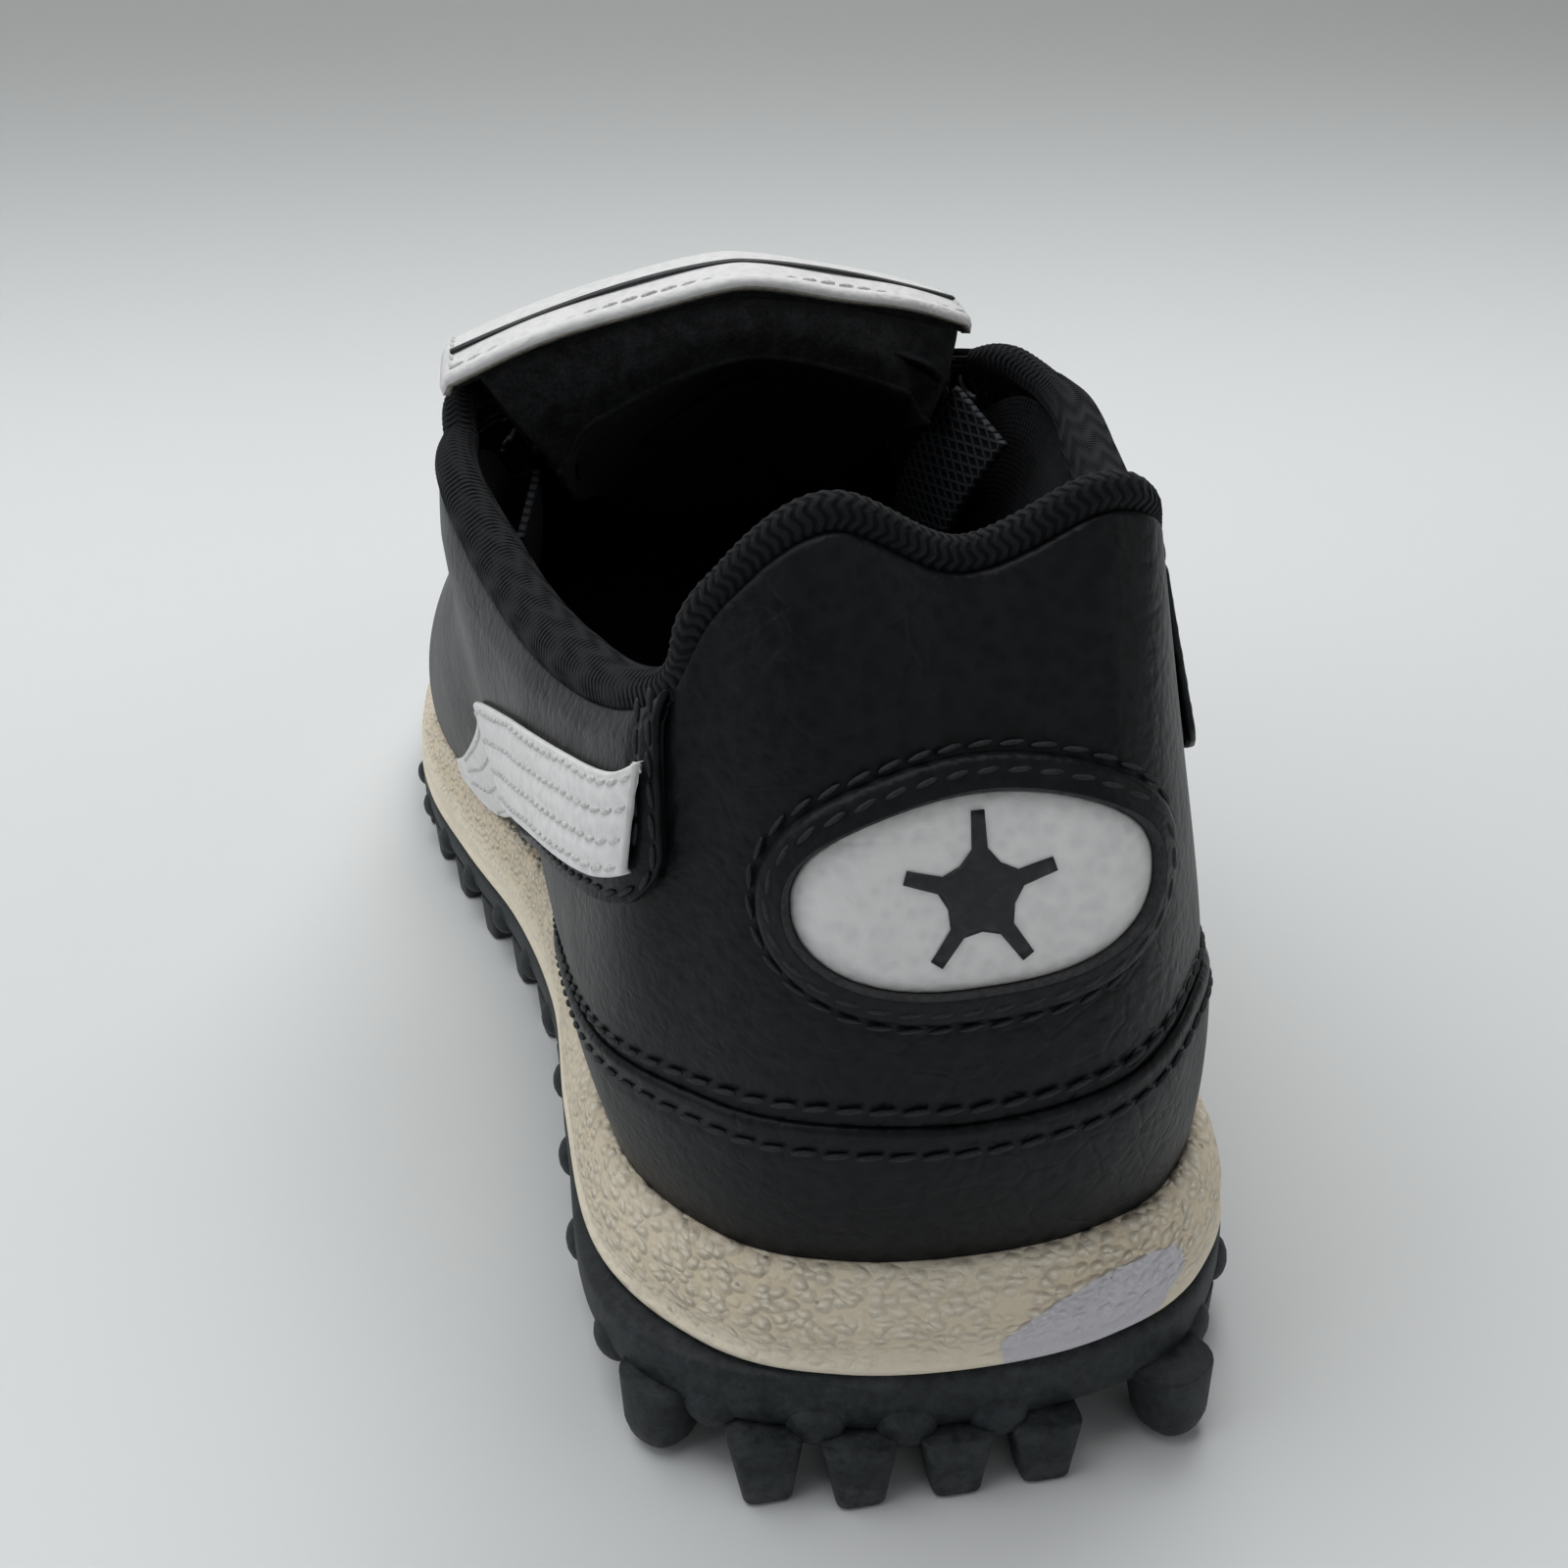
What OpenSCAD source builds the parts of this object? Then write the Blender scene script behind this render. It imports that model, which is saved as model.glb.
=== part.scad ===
// Soccer turf trainer, left foot: studded rubber outsole, foam midsole, lasted upper,
// padded collar, and a tongue with a fold-over flap. +Z up, +Y towards the toe.

/* [Sole] */
// Length of the sole from heel to toe
sole_l = 290; // [280:1:300]
// Width of the sole across the ball of the foot
ball_w = 103; // [99:1:107]
// Thickness of the outsole plate at its rim
plate_t = 4; // [3.5:0.1:4.5]
// Radius of an inner turf stud where it leaves the plate
stud_r = 4.2; // [3.6:0.1:4.6]
// Number of studs along each side of the rim
side_studs = 15; // [12:1:16]

/* [Upper] */
// Height of the heel tab's lobes
tab_h = 95; // [92:1:98]
// Thickness of the main leather
leather_t = 1.5; // [1.2:0.1:1.6]
// Thickness of an overlay, such as a quarter or an eyestay
overlay_t = 1.3; // [1:0.1:1.4]
// Radius of the collar's rolled edge at the heel
roll_r = 2; // [1.8:0.1:2.2]
// Diameter of a lace hole
lace_hole_d = 4.2; // [3.6:0.1:4.6]

/* [Tongue] */
// Length of the fold-over flap
flap_l = 60; // [54:1:64]
// Thickness of the tongue's padding
tongue_pad_t = 3.6; // [3:0.1:4]

/* [Hidden] */

gap = 0.3;              // clearance between two layers
k = [ball_w / 103, sole_l / 290, tab_h / 95];

// ---- The last's surface ----
// Stations round the foot, from the heel's centre along the lateral side to the toe and
// back along the medial side. Each is the feather point [x, y], the top-line point
// [x, y, z], then how far the wall swells out and up from the feather point, and how
// far it swells out and drops below the top line.
stations = [
  [[  0.5,  5.5], [  0,  13, 90  ],  [8, 22], [10, 24]],
  [[-11.5,  7  ], [-11.5, 12.5, 94.5], [8, 22], [ 9, 26]],
  [[-21.5, 12.5], [-20.5, 14.5, 88], [6, 22], [ 5, 24]],
  [[-29.5, 27  ], [-26,  19, 77.5],  [6, 20], [ 6, 20]],
  [[-31,   52  ], [-32.5, 45, 71.5], [7, 16], [ 4, 16]],
  [[-31,   80  ], [-39,  78, 72  ],  [6, 14], [ 2, 16]],
  [[-35,  108  ], [-44, 105, 80  ],  [4, 16], [ 0, 18]],
  [[-42,  134  ], [-38, 119, 84  ],  [5, 18], [ 5, 16]],
  [[-48,  160  ], [-27.5, 136, 81.5],  [4, 20], [12, 12]],
  [[-50,  186  ], [-17,  160, 76  ],  [4, 20], [16,  8]],
  [[-47,  215  ], [-10, 186, 66  ],  [4, 16], [20,  3]],
  [[-38,  244  ], [ -3, 210, 56  ],  [4, 13], [20,  0]],
  [[-19,  271  ], [  1, 234, 50  ],  [4, 12], [20,  0]],
  [[  8,  284.5], [  5, 243, 48.5],  [4, 12], [20, -1]],
  [[ 32,  271  ], [  9, 234, 50  ],  [4, 12], [19,  0]],
  [[ 43,  243  ], [ 11, 210, 56.5],  [4, 13], [18,  0]],
  [[ 46,  214  ], [ 14, 187, 66.5],  [4, 16], [16,  3]],
  [[ 45,  187  ], [ 19,  161, 76.5],  [4, 20], [13,  8]],
  [[ 39,  160  ], [ 28,  137, 85.5],  [4, 20], [ 9, 12]],
  [[ 33,  134  ], [ 36.5, 118, 88 ],  [4, 20], [ 3, 16]],
  [[ 30,  107  ], [ 42, 103, 84  ],  [4, 18], [ 0, 18]],
  [[ 29,   80  ], [ 37.5, 80, 81.5], [4, 14], [ 0, 16]],
  [[ 30,   52  ], [ 30,  51, 81.5],  [5, 16], [ 3, 16]],
  [[ 29.5, 26  ], [ 22.5, 27, 86.5], [4, 20], [ 3, 20]],
  [[ 22,   12.5], [ 18,  15.5, 93],  [4, 22], [ 4, 24]],
  [[ 12,    7  ], [ 11.5, 12.5, 94.5], [8, 22], [ 9, 26]]];
n_st = len(stations);
toe = n_st / 2;         // the station at the tip of the toe

function unit(v) = v / norm(v);
function wrap(i) = (i % n_st + n_st) % n_st;
function at(x, e) = is_num(e) ? e : lookup(x, e);

// Height of the feather edge, and of the joint between midsole and outsole
function feather_z(y) = lookup(y / k.y,
    [[0, 23.2], [60, 22.6], [120, 21], [180, 19.5], [230, 20.5], [262, 23.5], [290, 29]]);
function sole_z(y) = lookup(y / k.y,
    [[0, 13.7], [60, 12.4], [120, 10.4], [180, 9.4], [228, 9.8], [262, 13], [290, 19.5]]);

function feather(i) = let (b = stations[wrap(i)][0], y = b.y * k.y)
    [b.x * k.x, y, feather_z(y)];
function plan_out(tangent) = unit([-tangent.y, tangent.x, 0]);

// The four control points of the wall's profile at a station
function profile(i) =
    let (st = stations[i], b = feather(i), t = [for (a = [0:2]) st[1][a] * k[a]],
         out = plan_out(feather(i + 1) - feather(i - 1)))
    [b, b + out * st[2].x + [0, 0, st[2].y], t + out * st[3].x - [0, 0, st[3].y], t];
profiles = [for (i = [0:n_st - 1]) profile(i)];

function catmull(a, b, c, d, f) = 0.5 * (2 * b + (c - a) * f
    + (2 * a - 5 * b + 4 * c - d) * f * f + (3 * b - a - 3 * c + d) * f * f * f);
function wall(s) = let (i = floor(s), f = s - i)
    catmull(profiles[wrap(i - 1)], profiles[wrap(i)],
            profiles[wrap(i + 1)], profiles[wrap(i + 2)], f);
function bezier(c, t) = c[0] * pow(1 - t, 3) + c[1] * 3 * t * pow(1 - t, 2)
    + c[2] * 3 * t * t * (1 - t) + c[3] * pow(t, 3);
function bezier_dir(c, t) = (c[1] - c[0]) * pow(1 - t, 2) + (c[2] - c[1]) * 2 * t * (1 - t)
    + (c[3] - c[2]) * t * t;

// A point on the upper: s stations round, t of the way up, d outside the leather's face
ds = 0.05;
function skin(s, t, d = 0) =
    let (c = wall(s), along = bezier(wall(s + ds), t) - bezier(wall(s - ds), t))
    bezier(c, t) + unit(cross(bezier_dir(c, t), along)) * d;

// A point on the feather edge's outline, moved outwards, at height z
function rim(s, out, z = undef) =
    let (b = wall(s)[0], o = plan_out(wall(s + ds)[0] - wall(s - ds)[0]), p = b + o * out)
    [p.x, p.y, is_undef(z) ? p.z : z];

// ---- Solids from grids of points ----
function quad(a, b, c, d) = [[a, b, c], [a, c, d]];
function flip(faces) = [for (f = faces) [f[0], f[2], f[1]]];

// A sheet between two grids of the same size. Where the rows are closed, the first row
// follows the last. From row `bridge` to its mirror, the top edges are joined across.
module sheet(outer, inner, closed = false, bridge = undef) {
    rows = len(outer);
    cols = len(outer[0]);
    last = closed ? rows - 1 : rows - 2;
    top = cols - 1;
    n = rows * cols;
    bridged = !is_undef(bridge);
    function o(i, j) = (i % rows) * cols + j;
    function open_top(i) = !bridged || i < bridge || i >= rows - 1 - bridge;
    function across(i, m) = let (r = rows - 1 - i)
        i + 2 == r ? [[m + o(i, top), m + o(i + 1, top), m + o(r, top)]]
        : quad(m + o(i, top), m + o(i + 1, top), m + o(r - 1, top), m + o(r, top));
    polyhedron(points = concat([for (r = outer) each r], [for (r = inner) each r]), faces = [
        for (i = [0:last], j = [0:cols - 2]) each concat(
            quad(o(i, j), o(i + 1, j), o(i + 1, j + 1), o(i, j + 1)),
            quad(n + o(i, j + 1), n + o(i + 1, j + 1), n + o(i + 1, j), n + o(i, j))),
        for (i = [0:last]) each quad(o(i, 0), n + o(i, 0), n + o(i + 1, 0), o(i + 1, 0)),
        for (i = [0:last]) if (open_top(i))
            each quad(o(i + 1, top), n + o(i + 1, top), n + o(i, top), o(i, top)),
        if (!closed) for (j = [0:cols - 2]) each concat(
            quad(o(0, j + 1), n + o(0, j + 1), n + o(0, j), o(0, j)),
            quad(o(rows - 1, j), n + o(rows - 1, j),
                 n + o(rows - 1, j + 1), o(rows - 1, j + 1))),
        if (bridged) for (i = [bridge:(rows - 3) / 2])
            each concat(across(i, 0), flip(across(i, n))),
        if (bridged) each quad(o(rows - 1 - bridge, top), n + o(rows - 1 - bridge, top),
                               n + o(bridge, top), o(bridge, top))
    ]);
}

// A body through rings of points. Its ends are closed by strips from side to side where
// the rings run round the sole, or by one flat face where they are round sections.
module loft(rings, strips = true) {
    m = len(rings);
    n = len(rings[0]);
    strip = [for (i = [0:n / 2 - 1]) let (c = n - i - 1, d = (n - i) % n)
        each (i == 0 ? [[0, 1, c]] : i + 1 == c ? [[i, c, d]] : quad(i, i + 1, c, d))];
    cap = strips ? strip : [for (i = [1:n - 2]) [0, i, i + 1]];
    polyhedron(points = [for (r = rings) each r], faces = flip([
        for (f = cap) f,
        for (f = flip(cap)) [for (v = f) (m - 1) * n + v],
        for (a = [0:m - 2], i = [0:n - 1]) let (b = (i + 1) % n)
            each quad(a * n + i, (a + 1) * n + i, (a + 1) * n + b, a * n + b)
    ]));
}

// A flat-topped plate from its centre and outline, above and below
module plate(top, bottom) {
    n = len(top) - 1;
    m = n + 1;
    polyhedron(points = concat(top, bottom), faces = [
        for (i = [0:n - 1]) let (a = 1 + i, b = 1 + (i + 1) % n) each concat(
            [[0, a, b], [m, m + b, m + a]], quad(a, m + a, m + b, b))
    ]);
}

// Points of a panel on the upper. Each end is a number or a table by t, its bottom and
// top edges by s, and its offset by how far up the panel it is.
function panel(left, right, bottom, top, d, cols, rows = 6) =
    [for (i = [0:cols]) [for (j = [0:rows])
        let (v = j / rows, s = at(v, left) * (1 - i / cols) + at(v, right) * i / cols,
             t = at(s, bottom) * (1 - v) + at(s, top) * v)
        skin(s, t, at(v, d))]];

// The same for a panel given on the lateral side, put on one side or the other
function back_to_front(e) = is_num(e) ? e
    : [for (i = [len(e) - 1:-1:0]) [-e[i][0], e[i][1]]];
function negated(e) = is_num(e) ? -e : [for (p = e) [p[0], -p[1]]];
function side_panel(medial, back, front, bottom, top, d, cols, rows = 6) =
    !medial ? panel(back, front, bottom, top, d, cols, rows)
    : panel(negated(front), negated(back), back_to_front(bottom), back_to_front(top),
            d, cols, rows);

// A grid moved by d along its own normals
function moved(g, d) = let (m = len(g) - 1, n = len(g[0]) - 1) [for (i = [0:m]) [for (j = [0:n])
    let (across = g[i][min(j + 1, n)] - g[i][max(j - 1, 0)],
         along = g[min(i + 1, m)][j] - g[max(i - 1, 0)][j])
    g[i][j] + unit(cross(across, along)) * d]];
function part_of(g, i0, i1, j0, j1) = [for (i = [i0:i1]) [for (j = [j0:j1]) g[i][j]]];
module layer(g, d_out, d_in, i0 = 0, j0 = 0, i1 = undef, j1 = undef) {
    i = is_undef(i1) ? len(g) - 1 : i1;
    j = is_undef(j1) ? len(g[0]) - 1 : j1;
    sheet(part_of(moved(g, d_out), i0, i, j0, j), part_of(moved(g, d_in), i0, i, j0, j));
}

// ---- Sole ----
ring_n = 52;            // points round the sole
foot_out = 4.6;         // the midsole's foot stands this far outside the feather edge
rim_out = 5;            // and the outsole's rim this far
function ring(out, rise, from_feather = false) = [for (i = [0:ring_n - 1])
    let (p = rim(n_st * i / ring_n, out))
    [p.x, p.y, (from_feather ? feather_z(p.y) : sole_z(p.y)) + rise]];
rim_line = ring(rim_out, 0);
x_ends = [min([for (p = rim_line) p.x]), max([for (p = rim_line) p.x])];
y_ends = [min([for (p = rim_line) p.y]), max([for (p = rim_line) p.y])];
centre = [x_ends[0] + x_ends[1], y_ends[0] + y_ends[1], 0] / 2;

// Where the rim is on each side, by distance from the heel
lateral_x = [for (i = [0:ring_n / 2]) [rim_line[i].y, rim_line[i].x]];
medial_x = [for (i = [0:ring_n / 2])
    let (p = rim_line[(ring_n - i) % ring_n]) [p.y, p.x]];

// Stations of the studs round the rim: the heel's back, its two corners, and the sides
small_r = 3.8;
corner_r = 5.4;
corner_stations = [2.25, -1.54];
rim_stations = concat([-0.74, 0, 0.76, 1.5, -2.4],
    [for (i = [0:side_studs]) each let (s = 3.1 + 0.6 * i) [s, 0.1 - s]]);
stud_sides = 6;
stud_sink = 1;          // how far a stud reaches up into the plate
function stud_tip(y) = lookup(y / k.y, [[0, 0], [238, 0], [262, 3], [290, 9]]);
module stud(x, y, r, flat, turn = 0) {
    tip = stud_tip(y);
    translate([x, y, tip]) rotate([0, 0, turn])
        cylinder(h = sole_z(y) - plate_t + stud_sink - tip, r1 = r * flat, r2 = r,
                 $fn = stud_sides);
}

// A stud at the rim, with its outer side upright
module rim_stud(s, r) {
    o = plan_out(rim(s + ds, 0) - rim(s - ds, 0));
    function section(r, z) = let (p = rim(s, rim_out - 0.2 - r * cos(180 / stud_sides), z))
        [for (a = [0.5:stud_sides]) let (b = atan2(o.y, o.x) - 360 * a / stud_sides)
            p + r * [cos(b), sin(b), 0]];
    y = rim(s, 0).y;
    loft([section(r * 0.7, stud_tip(y)), section(r, sole_z(y) - plate_t + stud_sink)],
         strips = false);
}

module outsole() {
    pitch = 17;         // spacing of the inner studs
    edge = 15;          // inner studs keep this far from the rim
    nub_h = 3.4;
    color("#20242a") {
        loft([ring(rim_out - 1.4, -plate_t), ring(rim_out, -plate_t + 1),
              ring(rim_out, -0.6), ring(rim_out - 0.8, -0.15)]);
        for (s = rim_stations) rim_stud(s, small_r);
        for (s = corner_stations) rim_stud(s, corner_r);
        for (row = [1:15])
            let (y = row * pitch + 6, lo = lookup(y, lateral_x) + edge,
                 hi = lookup(y, medial_x) - edge, cols = floor((hi - lo) / pitch))
            if (hi > lo) for (c = [0:cols])
                stud((lo + hi) / 2 + (c - cols / 2) * pitch, y, stud_r, 0.62);
        // short nubs that grip up the rim, between the studs
        for (s = rim_stations)
            let (p = rim(s + 0.35, rim_out - 1.9))
            translate([p.x, p.y, sole_z(p.y) - plate_t - 1])
                cylinder(h = nub_h, r1 = 1.1, r2 = 1.8, $fn = 5);
    }
}

module midsole() {
    lip = 0.9;
    color("#e2d4b4")
        loft([ring(foot_out - 0.3, 0), ring(foot_out + 0.3, 2.2), ring(foot_out - 0.2, 5.2),
              ring(3.1, 0, true), ring(2.3, lip, true), ring(2 * gap, lip, true),
              ring(2 * gap, -1.4, true)]);
}

module strobel_board() {
    color("#c9c4b8") loft([ring(-5.6, -1.1, true), ring(-5.6, 0.5, true)]);
}

sock_in = 7.2;          // the sockliner keeps this far inside the feather edge
sock_foam_t = 3.7;
sock_cloth_t = 0.9;
module sockliner_foam() {
    color("#3b4048")
        loft([ring(-sock_in, 0.9, true), ring(-sock_in - 0.3, 0.9 + sock_foam_t, true)]);
}

module sockliner_cloth() {
    under = 0.9 + sock_foam_t + 0.15;
    color("#16181c")
        loft([ring(-sock_in - 0.4, under, true),
              ring(-sock_in - 0.6, under + sock_cloth_t, true)]);
}

// ---- Upper, inside ----
stiff_d = -leather_t - 0.5;     // stiffeners and foam lie against the leather
collar_top = 0.96;      // leather stops here, under the rolled edge
throat_top = 0.82;      // linings stop here, beside the lace holes

module heel_counter() {
    color("#8f8a80") sheet(panel(-4.4, 4.4, 0.05, 0.56, stiff_d, 18, 4),
                           panel(-4.4, 4.4, 0.05, 0.56, stiff_d - 1, 18, 4));
}

module toe_puff() {
    color("#8f8a80") sheet(panel(toe - 2.2, toe + 2.2, 0.06, 0.6, stiff_d, 10, 4),
                           panel(toe - 2.2, toe + 2.2, 0.06, 0.6, stiff_d - 0.8, 10, 4));
}

lining_t = 0.9;
module quarter_lining() {
    top = [[-8.6, throat_top], [-7.3, throat_top], [-6.7, 0.9],
           [6.7, 0.9], [7.3, throat_top], [8.6, throat_top]];
    face = [[0, -3.6], [0.5, -4.1], [0.75, -5.4], [1, -5.2]];
    back = [for (e = face) [e[0], e[1] - lining_t]];
    color("#1a1d22") sheet(panel(-8.6, 8.6, 0.04, top, face, 34),
                           panel(-8.6, 8.6, 0.04, top, back, 34));
}

module collar_padding() {
    color("#44484e") sheet(panel(-6.6, 6.6, 0.62, 0.87, stiff_d, 27, 3),
                           panel(-6.6, 6.6, 0.62, 0.87, [[0, -3.3], [0.5, -4.6], [1, -4.6]], 27, 3));
}

// The vamp wraps the toe and closes over it in front of the throat
function vamp_grid(low, high, bottom, d) =
    panel([[0, low], [1, high]], [[0, n_st - low], [1, n_st - high]], bottom, 1, d, 24, 8);
module vamp() {
    color("#1d2025")
        sheet(vamp_grid(8.2, 9.2, 0, 0), vamp_grid(8.2, 9.2, 0, -leather_t), bridge = 5);
}

module vamp_lining() {
    face = -3.4;
    color("#24272c")
        sheet(vamp_grid(8.9, 10.6, 0.04, face), vamp_grid(8.9, 10.6, 0.04, face - 0.8),
              bridge = 0);
}

// ---- Upper, outside ----
module heel_foxing() {
    top = [[-5.6, 0.1], [-4, 0.31], [-2.4, 0.35], [0, 0.28], [1.7, 0.28], [3, 0.32],
           [4, 0.3], [5.6, 0.1]];
    color("#1d2025") sheet(panel(-5.5, 5.5, 0, top, 0, 22, 3),
                           panel(-5.5, 5.5, 0, top, -leather_t, 22, 3));
}

module heel_panel() {
    right = [[0, 4.9], [0.3, 4.7], [0.5, 3.4], [1, 3.1]];
    bottom = [[-5, 0.23], [-4, 0.325], [-2.4, 0.365], [0, 0.295], [1.7, 0.295], [3, 0.335],
              [4, 0.315], [5, 0.23]];
    color("#1f2227")
        sheet(panel(negated(right), right, bottom, collar_top, 0, 22, 7),
              panel(negated(right), right, bottom, collar_top, -leather_t, 22, 7));
}

// A lace hole's place on the upper
holes = 6;
function hole_s(i) = 7.6 + 0.46 * i;
hole_t = 0.9;
module lace_holes(medial) {
    for (i = [0:holes - 1])
        let (s = hole_s(i) * (medial ? -1 : 1), p = skin(s, hole_t), n = skin(s, hole_t, 1) - p)
        translate(p) rotate([0, acos(n.z), atan2(n.y, n.x)])
            cylinder(h = 10, d = lace_hole_d, center = true, $fn = 24);
}

lap = 0.5;              // an overlay lies this far off the leather under it
seam_s = 2.3;           // the upright seam at the back of a quarter
module quarter(medial) {
    back = [[0, seam_s + 0.25], [0.06, seam_s + 0.08], [0.15, seam_s],
            [0.45, seam_s + 0.12], [1, seam_s + 0.42]];
    front = [[0, 8.5], [1, 9.6]];
    bottom = [[2.2, 0.635], [2.55, 0.63], [3.1, 0.65], [3.6, 0.62], [4, 0.585], [4.5, 0.48],
              [5.3, 0.27], [6, 0.06], [6.3, 0.02], [9, 0.02]];
    top = [[2, collar_top], [6.6, collar_top], [7.1, 1], [9.6, 1]];
    difference() {
        sheet(side_panel(medial, back, front, bottom, top, lap + overlay_t, 15),
              side_panel(medial, back, front, bottom, top, lap, 15));
        lace_holes(medial);
    }
}
module quarter_lateral() { color("#1e2126") quarter(false); }
module quarter_medial() { color("#1e2126") quarter(true); }

eyestay_d = lap + overlay_t + lap;
eyestay_t = 1.2;
module eyestay(medial) {
    back = [[0, 7], [1, 6.75]];
    front = [[0, 10.1], [1, 10.45]];
    bottom = [[6.9, 0.82], [7.4, 0.78], [9, 0.78], [10.2, 0.8]];
    difference() {
        sheet(side_panel(medial, back, front, bottom, 1, eyestay_d + eyestay_t, 14, 2),
              side_panel(medial, back, front, bottom, 1, eyestay_d, 14, 2));
        lace_holes(medial);
    }
}
module eyestay_lateral() { color("#16181c") eyestay(false); }
module eyestay_medial() { color("#16181c") eyestay(true); }

// A straight band of one width from the heel seam down to the sole at the arch
band_t = 0.9;
band_s = [[0, 2.6], [1, 2.68]];    // its end beside the upright seam
module side_band(medial) {
    bottom = [[2.6, 0.69], [3.2, 0.7], [3.9, 0.65], [4.5, 0.56], [5.3, 0.36], [6, 0.14],
              [6.5, 0.03], [8, 0.03]];
    top = [[2.6, 0.87], [3.5, 0.89], [4.3, 0.84], [5, 0.71], [6, 0.43], [7, 0.13], [7.3, 0.06]];
    d = eyestay_d;
    sheet(side_panel(medial, band_s, 7.25, bottom, top, d + band_t, 14, 3),
          side_panel(medial, band_s, 7.25, bottom, top, d, 14, 3));
}
module side_band_lateral() { color("#f2f1ee") side_band(false); }
module side_band_medial() { color("#f2f1ee") side_band(true); }

// The rolled edge of knit over foam, round the collar
module collar_binding() {
    radius = [[0, roll_r], [2.5, roll_r + 0.4], [4, roll_r + 1.3],
              [5.2, roll_r + 1.5], [6, roll_r + 0.9], [6.8, roll_r + 0.2]];
    end_s = 6.75;
    rings = 40;
    sides = 8;
    function section(s) = let (r = lookup(abs(s), radius), c = wall(s)[3],
        tangent = unit(wall(s + ds)[3] - wall(s - ds)[3]), into = -plan_out(tangent),
        up = cross(into, tangent), mid = c + into * 0.9 * r + [0, 0, 0.8 * (r - roll_r)])
        [for (a = [0:sides - 1]) mid + into * r * cos(360 * a / sides)
                                     + up * r * sin(360 * a / sides)];
    color("#14161a")
        loft([for (i = [0:rings]) section(end_s * (2 * i / rings - 1))], strips = false);
}

// ---- Heel patch ----
patch_s = 0.02;
patch_t = 0.605;
patch_a = 1.23;         // half width, in stations
patch_b = 0.125;        // half height, as a part of the wall
function oval(angle, r_s, r_t, d) = skin(patch_s + r_s * cos(angle), patch_t + r_t * sin(angle), d);

module heel_patch() {
    turns = 24;
    rings = 3;
    function face(d) = [for (i = [0:turns / 2]) let (a = 180 * i / (turns / 2),
        h = max(sin(a), 0.12)) [for (j = [0:rings])
        skin(patch_s - patch_a * cos(a), patch_t + patch_b * h * (2 * j / rings - 1), d)]];
    color("#f4f3f0") sheet(face(lap + 0.8), face(lap));
}

module patch_frame() {
    turns = 28;
    a = 0.04;           // clear of the patch, in stations and as a part of the wall
    b = 0.006;
    wide = [0.3, 0.034];
    function face(d) = [for (i = [0:turns - 1]) [for (j = [0, 1])
        oval(360 * i / turns, patch_a + a + (1 - j) * wide[0], patch_b + b + (1 - j) * wide[1], d)]];
    color("#17191d") sheet(face(lap + 1.4), face(lap), closed = true);
}

// A football's five-sided panel with its five seams
module emblem() {
    mm_s = 0.085;       // stations per millimetre at the patch
    mm_t = 0.0150;      // wall fraction per millimetre there
    panel_r = 3.9;
    seam_r = 7;
    function corner(i, r, turn) = let (a = 90 + 72 * i + turn)
        skin(patch_s - r * mm_s * cos(a), patch_t + r * mm_t * sin(a), 1);
    function outline(d) = [for (i = [0:4]) each [for (p = [[panel_r, -11], [seam_r, -5],
        [seam_r, 5], [panel_r, 11], [panel_r * cos(36), 36]])
        let (a = 90 - 72 * i - p[1])
        skin(patch_s - p[0] * mm_s * cos(a), patch_t + p[0] * mm_t * sin(a), d)]];
    under = lap + 0.8 + 0.15;
    color("#16181c") plate(concat([skin(patch_s, patch_t, under + 0.4)], outline(under + 0.4)),
                           concat([skin(patch_s, patch_t, under)], outline(under)));
}

// ---- Tongue ----
tongue_rows = [10.9, 10.4, 9.9, 9.4, 8.9, 8.4, 7.9, 7.5];
tongue_depth = [[7.4, -6.5], [8.4, -5.2], [9.4, -5], [10, -4.4], [10.5, -5.8], [11, -5.8]];
tongue_arch = [[7.4, 12], [8, 10.5], [9, 7.5], [10, 2.6], [10.5, 0], [11, -0.4]];
tongue_end = [[-33, 112, 80.5], [-26, 110.5, 89], [-3, 108.5, 97.5], [20.5, 110, 91.5], [27, 113.5, 85]];
function scaled(p) = [for (a = [0:2]) p[a] * k[a]];
function tongue_knots(s) = let (d = lookup(s, tongue_depth), lat = skin(s, 1, d),
        med = skin(-s, 1, d), mid = (lat + med) / 2 + [0, 0, lookup(s, tongue_arch)])
    [skin(s, 0.84, d), lat, mid, med, skin(-s, 0.84, d)];
function through(knots, v) = let (x = v * (len(knots) - 1), i = min(floor(x), len(knots) - 2),
        n = len(knots) - 1)
    catmull(knots[max(i - 1, 0)], knots[i], knots[i + 1], knots[min(i + 2, n)], x - i);
tongue_cols = 10;
tongue_grid = [for (knots = concat([for (s = tongue_rows) tongue_knots(s)],
                                   [[for (p = tongue_end) scaled(p)]]))
    [for (j = [0:tongue_cols]) through(knots, 1 - j / tongue_cols)]];
tongue_skin_t = 1;
pad_d = -tongue_skin_t - 0.5;
tongue_lining_d = pad_d - tongue_pad_t - 0.7;

module tongue_outer() { color("#1b1e23") layer(tongue_grid, 0, -tongue_skin_t); }
module tongue_padding() {
    color("#44484e")
        layer(tongue_grid, pad_d, pad_d - tongue_pad_t, i0 = 1, j0 = 2, j1 = tongue_cols - 2);
}
module tongue_lining() {
    color("#17191d") layer(tongue_grid, tongue_lining_d, tongue_lining_d - 0.8, i0 = 1);
}
module tongue_label() {
    d = tongue_lining_d - 0.8 - 0.15;
    color("#4a4d55") layer(tongue_grid, d, d - 0.4, i0 = 4, j0 = 3, i1 = 6, j1 = 7);
}

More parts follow.
